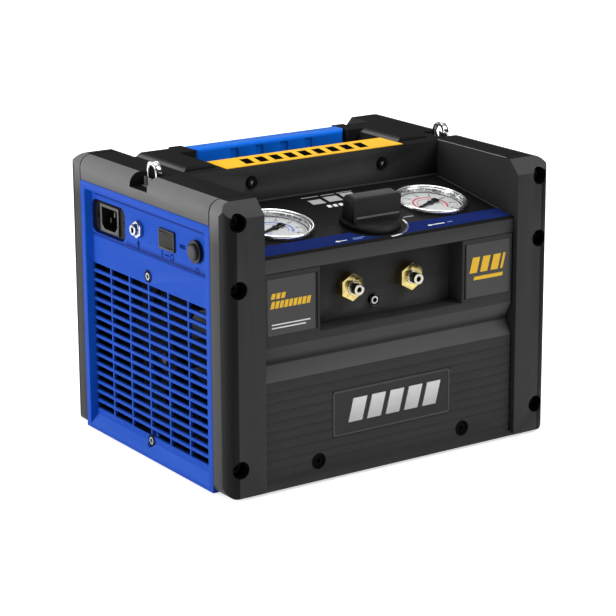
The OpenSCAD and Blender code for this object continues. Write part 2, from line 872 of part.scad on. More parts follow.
// Plain ribbed cover at the back, with posts for the control board
module back_cover() {
    post_x = board_size[0] / 2 - board_post_in;
    color(black) lifted() {
        difference() {
            block([-inner_x, rear_y - wall, 0], [inner_x, rear_y, deck_z - rear_lip]);
            for (z = [2 * rib_pitch:2 * rib_pitch:deck_z - rear_lip - rib_pitch])
                block([-inner_x - over, rear_y - rib_deep, z],
                    [inner_x + over, rear_y + over, z + rib_cut]);
        }
        for (x = [-post_x, post_x]) for (z = [board_post_in, board_size[1] - board_post_in])
            translate([x, 0, board_z + z])
                rod_y(rear_y - wall - board_off, rear_y - wall + sink, board_post_r);
    }
}

// Control board on the posts of the back cover
module control_board() {
    y = rear_y - wall - board_off;
    color([0.1, 0.4, 0.2]) lifted() block([-board_size[0] / 2, y - board_t, board_z],
        [board_size[0] / 2, y, board_z + board_size[1]]);
}

module capacitor() {
    y = rear_y - wall - board_off - board_t;
    color(soft_black) lifted() translate([-board_size[0] / 4, 0, board_z + board_size[1] / 2])
        rod_y(y - cap_l, y, cap_r);
}

// Side panel on the left: a rim, a recessed face with a sloping lower wall and a grille of air slots
module panel_shape(with_controls) {
    pocket = inlet_pocket / 2 + [wall, wall];
    first_y = slot_mid - slot_cols / 2 * col_pitch + col_bar / 2;
    r = panel_round;
    difference() {
        union() {
            block([-half_w, open_front + gap, 0], [-panel_back, open_rear - gap, open_top - gap]);
            if (with_controls) at_panel(inlet_y, inlet_z)
                block([-inlet_pocket_deep - wall, -pocket[0], -pocket[1]], [0, pocket[0], pocket[1]]);
            for (z = panel_screw_z) at_panel(panel_screw_y, z)
                rod_x(-wall - panel_boss, -over, panel_well_r + panel_boss);
        }
        along_x(-half_w - over, -panel_face) polygon(round_box(open_front + rim, panel_slope_z[1],
            open_rear - rim, open_top - rim, [0, 0, r, r]));
        along_y(open_front + rim, open_rear - rim) polygon([[-half_w, panel_slope_z[0]],
            [-panel_face, panel_slope_z[1]], [-panel_face, panel_slope_z[1] + over],
            [-half_w - over, panel_slope_z[1] + over], [-half_w - over, panel_slope_z[0]]]);
        for (row = [0:slot_rows - 1]) for (col = [0:slot_cols - 1])
            translate([-half_w, first_y + col * col_pitch, slot_z0 + row * slot_pitch])
                cube([recess + wall + over, col_pitch - col_bar, slot_h]);
        for (z = panel_screw_z) at_panel(panel_screw_y, z) {
            rod_x(-panel_well_deep, recess + over, panel_well_r);
            rod_x(-wall - panel_boss - over, over, screw_r + gap);
        }
        if (with_controls) control_cuts();
    }
}

// Places children on the left panel's face, with X pointing out of the face
module at_panel(y, z) { translate([-panel_face, y, z]) mirror([1, 0, 0]) children(); }

// Openings for the inlet, fitting, switch and button, and the groove below them
module control_cuts() {
    pocket = inlet_pocket / 2;
    hole = inlet_size / 2 + [gap, gap];
    seat = switch_size / 2 - [switch_lip, switch_lip];
    r = inlet_round;
    at_panel(inlet_y, inlet_z) {
        along_x(-inlet_pocket_deep, over)
            polygon(round_box(-pocket[0], -pocket[1], pocket[0], pocket[1], [r, r, r, r]));
        block([-inlet_pocket_deep - wall - over, -hole[0], -hole[1]], [over, hole[0], hole[1]]);
        for (y = [-ear_screw_y, ear_screw_y]) translate([0, y, 0])
            rod_x(-inlet_pocket_deep - wall - over, over, ear_screw_r + gap);
    }
    at_panel(0, groove_z) block([-groove_deep, open_front + rim + groove_end[0], -groove_w / 2],
        [over, open_rear - rim - groove_end[1], groove_w / 2]);
    at_panel(fitting_y, control_z) rod_x(-wall - over, over, fitting_stem_r + gap);
    at_panel(switch_y, control_z) block([-wall - over, -seat[0], -seat[1]], [over, seat[0], seat[1]]);
    at_panel(button_y, control_z) rod_x(-wall - over, over, button_ring_r - button_lip + gap);
}

module left_panel() { color(blue) lifted() panel_shape(true); }

module right_panel() { color(blue) lifted() mirror([1, 0, 0]) panel_shape(false); }

// Screws of the two side panels in their wells, and those of the inlet's ears
module panel_screws() {
    color(steel) lifted() {
        for (side = [0, 1]) mirror([side, 0, 0]) for (z = panel_screw_z) at_panel(panel_screw_y, z)
            translate([-panel_well_deep, 0, 0]) rotate([0, 0, 90])
                screw_y(wall + panel_boss - panel_well_deep);
        for (y = [-ear_screw_y, ear_screw_y]) at_panel(inlet_y + y, inlet_z)
            translate([-inlet_pocket_deep, 0, 0]) {
                rod_x(-wall, inlet_flange_t + sink, ear_screw_r);
                rod_x(inlet_flange_t, inlet_flange_t + ear_head_t, ear_head_r);
            }
    }
}

// Mains inlet: flange, shroud and a socket with cut corners
module power_inlet() {
    flange = inlet_flange / 2;
    body = inlet_size / 2;
    r = inlet_round - 1;
    color(soft_black) lifted() at_panel(inlet_y, inlet_z) translate([-inlet_pocket_deep, 0, 0])
        difference() {
            union() {
                along_x(0, inlet_flange_t)
                    polygon(round_box(-flange[0], -flange[1], flange[0], flange[1], [r, r, r, r]));
                block([-inlet_deep - wall, -body[0], -body[1]], [inlet_rise, body[0], body[1]]);
            }
            along_x(-inlet_deep, inlet_rise + over) socket_outline();
            for (y = [-ear_screw_y, ear_screw_y]) translate([0, y, 0])
                rod_x(-over, inlet_flange_t + over, ear_screw_r + gap);
        }
}

// Six-sided outline of the socket
module socket_outline() {
    w = inlet_size[0] / 2 - inlet_wall;
    h = inlet_size[1] / 2 - inlet_wall;
    c = inlet_corner;
    polygon([[-w, -h + c], [-w + c, -h], [w - c, -h], [w, -h + c], [w, h], [-w, h]]);
}

// Three flat contact pins at the back of the inlet
module inlet_pins() {
    pin = [14, 2, 5];
    color(steel) lifted() at_panel(inlet_y, inlet_z) for (p = [[-8, -3], [8, -3], [0, 4]])
        translate([-inlet_pocket_deep - inlet_deep, p[0] - pin[1] / 2, p[1] - pin[2] / 2]) cube(pin);
}

// Small plated flare fitting beside the inlet
module side_fitting() {
    hex_t = recess / 2;
    color(steel) lifted() at_panel(fitting_y, control_z) difference() {
        union() {
            rod_x(-wall - fitting_stem_l, sink, fitting_stem_r);
            rotate([0, 90, 0]) cylinder(r = fitting_hex_r, h = hex_t, $fn = 6);
            rod_x(hex_t - sink, recess, fitting_thread_r);
        }
        rod_x(1, recess + over, port_hole_r);
    }
}

// Rocker switch: frame with a hinge pin, and the rocker on it
module switch_frame() {
    w = switch_size / 2;
    body = w - [switch_lip + gap, switch_lip + gap];
    r = rocker_size / 2 + [gap, gap];
    corner = [1.5, 1.5, 1.5, 1.5];
    color(soft_black) lifted() at_panel(switch_y, control_z) {
        difference() {
            union() {
                along_x(0, switch_rim_t) polygon(round_box(-w[0], -w[1], w[0], w[1], corner));
                block([-switch_deep, -body[0], -body[1]], [sink, body[0], body[1]]);
            }
            block([-switch_hollow, -r[0], -r[1]], [switch_rim_t + over, r[0], r[1]]);
        }
        translate([-rocker_pin_in, 0, -r[1] - sink]) cylinder(r = rocker_pin_r, h = 2 * (r[1] + sink));
    }
}

module switch_rocker() {
    w = rocker_size[0] / 2;
    h = rocker_size[1] / 2;
    profile = [[-9, -3], [-9, 3], [-4, w - 2.5], [1.5, w - 2], [3.4, w - 2.2], [1.6, 0], [0.4, -w + 2.2],
        [-1.2, -w + 2], [-4, -w + 2.5]];
    color(black) lifted() at_panel(switch_y, control_z) difference() {
        translate([0, 0, -h]) linear_extrude(2 * h) polygon(profile);
        translate([-rocker_pin_in, 0, -h - over]) cylinder(r = rocker_pin_r + run, h = 2 * (h + over));
    }
}

// Reset button in its ring
module button_ring() {
    color(soft_black) lifted() at_panel(button_y, control_z) difference() {
        union() {
            rod_x(0, button_ring_t, button_ring_r);
            rod_x(-button_deep, sink, button_ring_r - button_lip);
        }
        rod_x(-button_hollow, button_ring_t + over, button_r + run);
    }
}

module reset_button() {
    color(black) lifted() at_panel(button_y, control_z) rotate([0, 90, 0]) rotate_extrude()
        polygon([[0, -button_tail], [button_r, -button_tail], [button_r, button_top - button_lip],
            [button_r - button_lip, button_top], [0, button_top]]);
}

// Base of a strap ring: a foot, two lugs and the hinge pin
module ring_base(side) {
    half = ring_leg + gap + lug_t;
    color(steel) lifted() scale([side, 1, 1]) translate([ring_x, ring_y, 0]) {
        block([-ring_foot[0], -half, notch_z], [ring_foot[0], half, notch_z + ring_foot[1]]);
        for (s = [-1, 1]) scale([1, s, 1])
            block([-lug_half, ring_leg + gap, notch_z + sink], [lug_half, half, hinge_z + lug_half]);
        translate([0, 0, hinge_z]) rod_y(-half, half, ring_pin_r);
    }
}

// Strap ring: a flat bar bent into a U, hung on the hinge pin
module ring(side) {
    bow = ring_leg;
    bow_z = ring_top - bow;
    bow_in = bow - ring_bar;
    end_z = hinge_z - ring_tail;
    steps = 2 * arc_steps;
    color(steel) lifted() scale([side, 1, 1]) translate([ring_x, ring_y, 0]) difference() {
        along_x(-ring_strip / 2, ring_strip / 2) difference() {
            polygon(concat([[-bow, end_z], [bow, end_z]], arc(0, bow_z, bow, 0, 180, steps)));
            polygon(concat([[-bow_in, 0], [bow_in, 0]], arc(0, bow_z, bow_in, 0, 180, steps)));
        }
        translate([0, 0, hinge_z]) rod_y(-ring_w, ring_w, ring_pin_r + run);
    }
}

module left_ring_base() { ring_base(-1); }

module left_ring() { ring(-1); }

module right_ring_base() { ring_base(1); }

module right_ring() { ring(1); }

// Ring that guides the air round the fan
module fan_shroud() {
    half = fan_r + shroud_edge;
    color(soft_black) lifted() translate([0, fan_y, 0]) difference() {
        block([shroud_x, -half, pan_t], [shroud_x + wall, half, shaft_z + half]);
        translate([0, 0, shaft_z]) rod_x(shroud_x - over, shroud_x + wall + over, fan_r + fan_room);
    }
}

// Axial fan on the motor shaft
module fan() {
    blade = [2.4, 32];
    blade_angle = 32;
    root = hub_r - 3;
    color(soft_black) lifted() translate([fan_x, fan_y, shaft_z]) difference() {
        union() {
            rod_x(-fan_t / 2, fan_t / 2, hub_r);
            intersection() {
                for (i = [0:fan_blades - 1]) rotate([i * 360 / fan_blades, 0, 0]) rotate([0, 0, blade_angle])
                    translate([-blade[0] / 2, -blade[1] / 2, root]) cube([blade[0], blade[1], fan_r]);
                rod_x(-fan_t / 2, fan_t / 2, fan_r);
            }
        }
        rod_x(-fan_t, fan_t, shaft_r + run);
    }
}

module motor_shaft() {
    color(steel) lifted() translate([0, fan_y, shaft_z])
        rod_x(fan_x - fan_t / 2 - shaft_tail, motor_x + shaft_in, shaft_r);
}

// Motor with a ribbed shell
module motor() {
    first = motor_x + motor_rib_pitch;
    color(steel) lifted() translate([0, fan_y, shaft_z]) difference() {
        union() {
            rod_x(motor_x, crank_x, motor_r);
            for (x = [first:motor_rib_pitch:crank_x - motor_rib_pitch])
                rod_x(x, x + motor_rib[0], motor_r + motor_rib[1]);
        }
        rod_x(motor_x - over, motor_x + shaft_in + over, shaft_r + run);
    }
}

// Saddle that carries the motor on the pan
module motor_cradle() {
    half = cradle_w / 2;
    color(steel) lifted() translate([0, fan_y, 0]) difference() {
        block([motor_x + cradle_in, -half, pan_t], [crank_x - cradle_in, half, shaft_z - motor_r / 2]);
        translate([0, 0, shaft_z]) rod_x(motor_x, crank_x, motor_r + motor_rib[1] + gap);
    }
}

// Crankcase on its leg
module crankcase() {
    half = crank_w / 2;
    leg = half - crank_leg_in;
    mid = crank_x + half;
    r = crank_round;
    color(steel) lifted() translate([0, fan_y, 0]) {
        along_x(crank_x, crank_x + crank_w)
            polygon(round_box(-half, shaft_z - half, half, shaft_z + half, [r, r, r, r]));
        block([mid - leg, -leg, pan_t], [mid + leg, leg, shaft_z - half + sink]);
    }
}

// Two finned cylinder barrels, one on each side of the crankcase
module barrels() {
    fin_pitch = barrel_l / (barrel_fins + 1);
    color(steel) lifted() translate([barrel_x, fan_y, shaft_z]) for (side = [-1, 1]) scale([1, side, 1])
        translate([0, crank_w / 2, 0]) {
            rod_y(0, barrel_l, barrel_r);
            for (i = [1:barrel_fins]) translate([0, i * fin_pitch, 0])
                rod_y(-barrel_fin_t / 2, barrel_fin_t / 2, barrel_r + fin_rise);
        }
}

// Square heads that close the barrels
module heads() {
    half = head_w / 2;
    r = head_round;
    color(steel) lifted() for (y = [barrel_y, barrel_front_y - head_t])
        along_y(y, y + head_t) polygon(round_box(barrel_x - half, shaft_z - half, barrel_x + half,
            shaft_z + half, [r, r, r, r]));
}

// Finned condenser coil that stands behind the right panel
module condenser() {
    half = coil_size[0] / 2;
    fin_pitch = (coil_size[0] - coil_fin_t) / (coil_fins - 1);
    row = coil_size[1] / coil_tubes;
    color(steel) lifted() translate([coil_x, fan_y, coil_z]) {
        for (i = [0:coil_fins - 1]) translate([0, -half + i * fin_pitch, 0])
            block([-coil_t / 2, 0, 0], [coil_t / 2, coil_fin_t, coil_size[1]]);
        for (i = [0:coil_tubes - 1]) translate([0, 0, (i + 0.5) * row]) rod_y(-half, half, coil_tube_r);
        for (i = [0:2:coil_tubes - 2]) return_bend(half, (i + 1) * row, row / 2, 1);
        for (i = [1:2:coil_tubes - 3]) return_bend(-half, (i + 1) * row, row / 2, -1);
    }
}

// Half ring that joins two condenser tubes
module return_bend(y, z, r, side) {
    translate([0, y, z]) scale([1, side, 1]) rotate([0, 90, 0])
        rotate_extrude(angle = 180) translate([r, 0]) circle(r = coil_tube_r);
}

// Pipe from the valve block down to the front head
module suction_pipe() {
    y = barrel_front_y - head_t / 2;
    color(copper) lifted() translate([barrel_x, y, shaft_z + head_w / 2])
        cylinder(r = pipe_r, h = port_z - manifold_size[2] / 2 - shaft_z - head_w / 2);
}

// Pipe from the rear head over to the condenser
module discharge_pipe() {
    bend = 14;
    rise = 20;
    y = barrel_y + head_t / 2;
    low = shaft_z + head_w / 2;
    coil_top = coil_z + coil_size[1];
    high = coil_top + rise;
    color(copper) lifted() translate([0, y, 0]) {
        translate([barrel_x, 0, low]) cylinder(r = pipe_r, h = high - bend - low);
        translate([barrel_x + bend, 0, high - bend]) rotate([90, 0, 0]) rotate([0, 0, 90])
            rotate_extrude(angle = 90) translate([bend, 0]) circle(r = pipe_r);
        translate([0, 0, high]) rod_x(barrel_x + bend, coil_x - bend, pipe_r);
        translate([coil_x - bend, 0, high - bend]) rotate([90, 0, 0])
            rotate_extrude(angle = 90) translate([bend, 0]) circle(r = pipe_r);
        translate([coil_x, 0, coil_top]) cylinder(r = pipe_r, h = high - bend - coil_top);
    }
}

left_frame();
right_frame();
base_pan();
feet();
front_cover();
back_cover();
console();
top_cover();
left_panel();
right_panel();
deck_plate();
badge_plate();
left_label();
right_label();
grip();
port_panel();
left_port();
right_port();
manifold();
selector_valve();
knob();
left_gauge_case();
left_gauge_dial();
left_gauge_needle();
left_gauge_lens();
right_gauge_case();
right_gauge_dial();
right_gauge_needle();
right_gauge_lens();
power_inlet();
inlet_pins();
side_fitting();
switch_frame();
switch_rocker();
button_ring();
reset_button();
left_ring_base();
left_ring();
right_ring_base();
right_ring();
frame_screws();
cover_screws();
panel_screws();
fan_shroud();
fan();
motor_shaft();
motor();
motor_cradle();
crankcase();
barrels();
heads();
condenser();
suction_pipe();
discharge_pipe();
control_board();
capacitor();
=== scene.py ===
import json
import math

import bmesh
import bpy
from mathutils import Matrix, Vector


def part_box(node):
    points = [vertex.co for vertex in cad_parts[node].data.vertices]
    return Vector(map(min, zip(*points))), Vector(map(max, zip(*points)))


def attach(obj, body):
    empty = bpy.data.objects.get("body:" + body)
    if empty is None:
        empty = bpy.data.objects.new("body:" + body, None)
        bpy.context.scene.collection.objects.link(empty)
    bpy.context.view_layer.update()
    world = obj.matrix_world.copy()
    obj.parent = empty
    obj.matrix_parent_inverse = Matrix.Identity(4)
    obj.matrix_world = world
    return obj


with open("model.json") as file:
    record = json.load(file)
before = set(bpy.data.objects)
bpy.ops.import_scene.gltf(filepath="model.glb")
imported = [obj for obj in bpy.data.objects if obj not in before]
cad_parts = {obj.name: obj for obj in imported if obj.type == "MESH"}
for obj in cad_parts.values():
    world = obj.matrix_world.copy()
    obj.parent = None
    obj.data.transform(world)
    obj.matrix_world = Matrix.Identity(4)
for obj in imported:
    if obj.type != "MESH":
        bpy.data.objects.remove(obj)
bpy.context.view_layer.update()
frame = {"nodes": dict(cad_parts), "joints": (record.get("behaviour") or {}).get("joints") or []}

MM = 0.001
ROOT = "machine"

JOINTS = {joint["name"]: joint for joint in frame["joints"]}
RIGHT = Vector((1, 0, 0))
CONSOLE_UP = Vector(JOINTS["knob_turn"]["axis"]).normalized()
SLOPE_UP = CONSOLE_UP.cross(RIGHT)
KNOB_AT = Vector(JOINTS["knob_turn"]["pos_m"])

# Sockets of a Mix node that mixes colours
MIX_FACTOR, MIX_A, MIX_B, MIX_RESULT = 0, 6, 7, 2

# Part of a noise texture's range that is spread over the wanted range
NOISE_LOW, NOISE_HIGH = 0.3, 0.7

# Moulded plastic: colour clouds, grain and gloss
CLOUD_SCALE, CLOUD_DETAIL, CLOUD_SPREAD = 28, 4, 0.1
GRAIN, FINE_GRAIN, COARSE_GRAIN = 1500, 2200, 900
GRAIN_DETAIL, GRAIN_DEPTH, GRAIN_HEIGHT = 2, 0.12, 0.15 * MM
GLOSS_SPREAD = 0.07

# Metal: tool marks and gloss
MARK_HEIGHT = 0.05 * MM
METAL_SMOOTHER, METAL_ROUGHER, METAL_SMOOTHEST = 0.06, 0.08, 0.02

# Ink: unevenness of its cover and gloss
INK_COVER_SCALE, INK_GLOSS_SCALE, INK_GLOSS_DETAIL = 700, 300, 2
INK_SPREAD = 0.05

# Clear lens
LENS_TINT = (0.97, 0.98, 0.98, 1)
LENS_SCALE, LENS_ROUGH_LOW, LENS_ROUGH_HIGH = 60, 0.01, 0.06
LENS_IOR = 1.04


# Materials


def new_material(name):
    """An empty node material; returns it with its nodes, links and Principled shader."""
    material = bpy.data.materials.new(name)
    material.use_nodes = True
    nodes = material.node_tree.nodes
    return material, nodes, material.node_tree.links, nodes["Principled BSDF"]


def noise(nodes, links, scale, detail=3.0, stretch=(1, 1, 1)):
    """A noise texture in object space; returns its factor."""
    coords = nodes.new("ShaderNodeTexCoord")
    mapping = nodes.new("ShaderNodeMapping")
    mapping.inputs["Scale"].default_value = stretch
    texture = nodes.new("ShaderNodeTexNoise")
    texture.inputs["Scale"].default_value = scale
    texture.inputs["Detail"].default_value = detail
    links.new(coords.outputs["Object"], mapping.inputs["Vector"])
    links.new(mapping.outputs["Vector"], texture.inputs["Vector"])
    return texture.outputs["Fac"]


def remap(nodes, links, source, low, high):
    """Maps a noise factor to a range."""
    node = nodes.new("ShaderNodeMapRange")
    node.inputs["From Min"].default_value = NOISE_LOW
    node.inputs["From Max"].default_value = NOISE_HIGH
    node.inputs["To Min"].default_value = low
    node.inputs["To Max"].default_value = high
    links.new(source, node.inputs["Value"])
    return node.outputs["Result"]


def tint(nodes, links, source, color, spread):
    """Mixes two shades of a colour by a noise factor."""
    node = nodes.new("ShaderNodeMix")
    node.data_type = "RGBA"
    node.inputs[MIX_A].default_value = (*[c * (1 - spread) for c in color], 1)
    node.inputs[MIX_B].default_value = (*[min(1, c * (1 + spread)) for c in color], 1)
    links.new(source, node.inputs[MIX_FACTOR])
    return node.outputs[MIX_RESULT]


def bump(nodes, links, shader, source, strength, distance):
    """Turns a noise factor into fine relief."""
    node = nodes.new("ShaderNodeBump")
    node.inputs["Strength"].default_value = strength
    node.inputs["Distance"].default_value = distance
    links.new(source, node.inputs["Height"])
    links.new(node.outputs["Normal"], shader.inputs["Normal"])


def add_grain(nodes, links, shader, rough, grain, depth, specular):
    """Fine relief and uneven gloss of moulded plastic."""
    fine = noise(nodes, links, grain, GRAIN_DETAIL)
    gloss = remap(nodes, links, fine, rough - GLOSS_SPREAD, rough + GLOSS_SPREAD)
    links.new(gloss, shader.inputs["Roughness"])
    bump(nodes, links, shader, fine, depth, GRAIN_HEIGHT)
    shader.inputs["Specular IOR Level"].default_value = specular


def moulded(name, color, rough=0.5, grain=GRAIN, depth=GRAIN_DEPTH, spread=CLOUD_SPREAD, specular=0.4):
    """Moulded plastic with a fine grain, slight colour clouds and uneven gloss."""
    material, nodes, links, shader = new_material(name)
    clouds = noise(nodes, links, CLOUD_SCALE, CLOUD_DETAIL)
    links.new(tint(nodes, links, clouds, color, spread), shader.inputs["Base Color"])
    add_grain(nodes, links, shader, rough, grain, depth, specular)
    return material


def faded(name, stops, rough=0.55, specular=0.2, axis="Z"):
    """Moulded plastic whose colour changes along an axis, from stops of a place in metres and a colour;
    used for painted light and shade.
    """
    material, nodes, links, shader = new_material(name)
    coords = nodes.new("ShaderNodeTexCoord")
    split = nodes.new("ShaderNodeSeparateXYZ")
    links.new(coords.outputs["Object"], split.inputs["Vector"])
    clouds = noise(nodes, links, CLOUD_SCALE, CLOUD_DETAIL)
    shade = tint(nodes, links, clouds, stops[0][1], CLOUD_SPREAD)
    for (place, _), (next_place, next_color) in zip(stops, stops[1:]):
        share = nodes.new("ShaderNodeMapRange")
        share.inputs["From Min"].default_value = place
        share.inputs["From Max"].default_value = next_place
        links.new(split.outputs[axis], share.inputs["Value"])
        mix = nodes.new("ShaderNodeMix")
        mix.data_type = "RGBA"
        links.new(share.outputs["Result"], mix.inputs[MIX_FACTOR])
        links.new(shade, mix.inputs[MIX_A])
        links.new(tint(nodes, links, clouds, next_color, CLOUD_SPREAD), mix.inputs[MIX_B])
        shade = mix.outputs[MIX_RESULT]
    links.new(shade, shader.inputs["Base Color"])
    add_grain(nodes, links, shader, rough, GRAIN, GRAIN_DEPTH, specular)
    return material


def metal(name, color, rough=0.2, stretch=(1, 1, 1), scale=900.0, spread=0.06, depth=0.05):
    """Bare or plated metal with fine tool marks."""
    material, nodes, links, shader = new_material(name)
    marks = noise(nodes, links, scale, stretch=stretch)
    links.new(tint(nodes, links, marks, color, spread), shader.inputs["Base Color"])
    smoothest = max(METAL_SMOOTHEST, rough - METAL_SMOOTHER)
    links.new(remap(nodes, links, marks, smoothest, rough + METAL_ROUGHER), shader.inputs["Roughness"])
    bump(nodes, links, shader, marks, depth, MARK_HEIGHT)
    shader.inputs["Metallic"].default_value = 1.0
    return material


def ink(name, color, rough=0.45):
    """Printed ink with slightly uneven cover."""
    material, nodes, links, shader = new_material(name)
    cover = noise(nodes, links, INK_COVER_SCALE)
    links.new(tint(nodes, links, cover, color, INK_SPREAD), shader.inputs["Base Color"])
    uneven = noise(nodes, links, INK_GLOSS_SCALE, INK_GLOSS_DETAIL)
    gloss = remap(nodes, links, uneven, rough - INK_SPREAD, rough + INK_SPREAD)
    links.new(gloss, shader.inputs["Roughness"])
    shader.inputs["Specular IOR Level"].default_value = 0.0
    return material


def clear_lens(name):
    """Thin clear lens: mostly see-through, with a gloss that grows at flat angles."""
    material, nodes, links, shader = new_material(name)
    nodes.remove(shader)
    clear = nodes.new("ShaderNodeBsdfTransparent")
    clear.inputs["Color"].default_value = LENS_TINT
    gloss = nodes.new("ShaderNodeBsdfGlossy")
    smears = noise(nodes, links, LENS_SCALE)
    links.new(remap(nodes, links, smears, LENS_ROUGH_LOW, LENS_ROUGH_HIGH), gloss.inputs["Roughness"])
    fresnel = nodes.new("ShaderNodeFresnel")
    fresnel.inputs["IOR"].default_value = LENS_IOR
    face = nodes.new("ShaderNodeNewGeometry")
    outside = nodes.new("ShaderNodeMath")
    outside.operation = "SUBTRACT"
    outside.inputs[0].default_value = 1.0
    links.new(face.outputs["Backfacing"], outside.inputs[1])
    shine = nodes.new("ShaderNodeMath")
    shine.operation = "MULTIPLY"
    links.new(fresnel.outputs["Fac"], shine.inputs[0])
    links.new(outside.outputs["Value"], shine.inputs[1])
    mix = nodes.new("ShaderNodeMixShader")
    links.new(shine.outputs["Value"], mix.inputs["Fac"])
    links.new(clear.outputs["BSDF"], mix.inputs[1])
    links.new(gloss.outputs["BSDF"], mix.inputs[2])
    links.new(mix.outputs["Shader"], nodes["Material Output"].inputs["Surface"])
    return material


# Settings that several finishes share
SATIN = {"grain": FINE_GRAIN, "depth": 0.05}
SMOOTH = {"grain": FINE_GRAIN, "depth": 0.04}
PANEL_SKIN = {"rough": 0.55, "depth": 0.1, "spread": 0.06, "specular": 0.06}
GRIP_SKIN = {"rough": 0.6, "grain": 1300, "depth": 0.14, "specular": 0.08}
SHADE_SKIN = {"rough": 0.55, "specular": 0.06}
BLUE = (0.010, 0.055, 0.34)

# Black and grey mouldings
FRAME_BLACK = moulded("frame_black", (0.038, 0.0383, 0.0386), 0.5, specular=0.1)
# Painted light: lighter grey on the outer side faces of the end frames, darker low down and brightest near
# the top
FRAME_SIDE_LIT = faded("frame_side_lit", [
    (0.245, (0.022, 0.022, 0.0217)), (0.262, (0.068, 0.068, 0.0685)), (0.281, (0.125, 0.125, 0.126))])
# Painted light: light grey at the foot of the top cover's side slopes, near black at their top
SLOPE_LIT = faded("slope_lit", [(0.2866, (0.105, 0.105, 0.106)), (0.2880, (0.016, 0.016, 0.016))])
# Painted highlight: lighter grey on the frames' chamfers that face up and forward
FRAME_EDGE_HIGHLIGHT = moulded("frame_edge_highlight", (0.062, 0.062, 0.0622), 0.5, specular=0.1)
# Painted shade: near black on the frames' vertical roundings and in the notches of the strap rings
FRAME_SHADE = moulded("frame_shade", (0.007, 0.007, 0.0075), 0.6, specular=0.1)
COVER_BLACK = moulded("cover_black", (0.037, 0.0373, 0.0376), 0.52, specular=0.1)
# Painted light: lighter grey on the up-facing lower face of the V groove, which is also a little glossier
COVER_LIT_FACET = moulded("cover_lit_facet", (0.085, 0.085, 0.0845), 0.45, specular=0.12, **SMOOTH)
COVER_SHADE = faded("cover_shade", [
    (0.124, (0.024, 0.024, 0.0245)), (0.131, (0.075, 0.075, 0.0755))], 0.6, 0.05)
BADGE_RIM = moulded("badge_rim", (0.075, 0.075, 0.075), 0.5, specular=0.1)
# Painted shade: darker black for the top faces of the end frames and for the top cover
TOP_SHADE_BLACK = moulded("top_shade_black", (0.018, 0.018, 0.0183), 0.7, specular=0.0)
# Painted shade: darker black for the inner faces of the end frames
INNER_SHADE_BLACK = moulded("inner_shade_black", (0.028, 0.028, 0.0283), 0.65, specular=0.03)
# Painted shade: the wall behind the console darkens from left to right
WALL_SHADE = faded("wall_shade", [
    (0.05, (0.060, 0.060, 0.0604)), (0.105, (0.022, 0.022, 0.0222))], 0.65, 0.03, "X")
# Painted light: the port panel is lighter at the bottom of the window and darker higher up
WINDOW_LIT = faded("window_lit", [
    (0.152, (0.085, 0.085, 0.0855)), (0.178, (0.032, 0.032, 0.0325))], 0.6, 0.1)
# Near black for the frames' seams, and painted shade in the screw wells, the front cover's end grooves, the
# side fitting's bore and on the cover screws deep in their wells
JOINT_AND_SHADE_BLACK = moulded("joint_and_shade_black", (0.003, 0.003, 0.003), 0.8, specular=0.05)
CONSOLE_BLACK = moulded("console_black", (0.007, 0.007, 0.0074), 0.55, specular=0.06, **SATIN)
LIP_BLACK = moulded("lip_black", (0.026, 0.0263, 0.0266), 0.5, specular=0.28)
LABEL_BLACK = moulded("label_black", (0.048, 0.048, 0.0475), 0.45, specular=0.3, **SMOOTH)
KNOB_BLACK = moulded("knob_black", (0.009, 0.009, 0.0094), 0.5, grain=1800, depth=0.1, specular=0.18)
SWITCH_BLACK = moulded("switch_black", (0.008, 0.008, 0.0085), 0.35, specular=0.2, **SATIN)
SWITCH_GREY = moulded("switch_grey", (0.018, 0.0175, 0.016), 0.4, specular=0.1, **SATIN)
BUTTON_BLACK = moulded("button_black", (0.026, 0.026, 0.026), 0.4, specular=0.2, **SATIN)
INLET_BLACK = moulded("inlet_black", (0.005, 0.005, 0.005), 0.45, specular=0.12, **SATIN)
INLET_GREY = moulded("inlet_grey", (0.085, 0.082, 0.076), 0.45, specular=0.15, **SATIN)
PIN_METAL = metal("pin_metal", (0.16, 0.14, 0.10), 0.35)

# Blue and yellow mouldings, rubber and fan
PANEL_BLUE = moulded("panel_blue", BLUE, **PANEL_SKIN)
# Painted light: lighter blue on the up-facing faces of the sill
PANEL_SILL_LIT = moulded("panel_sill_lit", (0.024, 0.085, 0.42), **PANEL_SKIN)
CONTROL_SHADE = faded("control_shade", [(0.2466, BLUE), (0.2476, (0.002, 0.022, 0.17))], **SHADE_SKIN)
LEDGE_SHADE = faded("ledge_shade", [(0.2084, (0.0016, 0.014, 0.125)), (0.2122, BLUE)], **SHADE_SKIN)
# Painted shade: dark blue in the side panels' screw wells and in the recess round the mains inlet
PANEL_SHADE = moulded("panel_shade", (0.004, 0.012, 0.07), 0.6, depth=0.1, spread=0.06, specular=0.1)
# Painted light: brighter blue on the recess wall at the rear of each side panel, which lies in shade
PANEL_REAR_LIT = moulded("panel_rear_lit", (0.006, 0.094, 0.53), **PANEL_SKIN)
# Painted light and shade: the grip's front faces are a brighter blue than its top
GRIP_FRONT_LIT = moulded("grip_front_lit", (0.002, 0.175, 0.93), spread=0.05, **GRIP_SKIN)
GRIP_BLUE = moulded("grip_blue", (0.010, 0.140, 0.62), spread=0.08, **GRIP_SKIN)
DECK_YELLOW = moulded("deck_yellow", (0.95, 0.50, 0.018), 0.55, FINE_GRAIN, 0.03, 0.03, 0.05)
RUBBER = moulded("foot_rubber", (0.012, 0.012, 0.012), 0.75, COARSE_GRAIN, 0.2)
FAN_BLACK = moulded("fan_black", (0.004, 0.004, 0.004), 0.7, specular=0.05)

# Metals and the pieces inside
BRASS = metal("port_brass", (0.72, 0.54, 0.22), 0.16, (1, 0.05, 1))
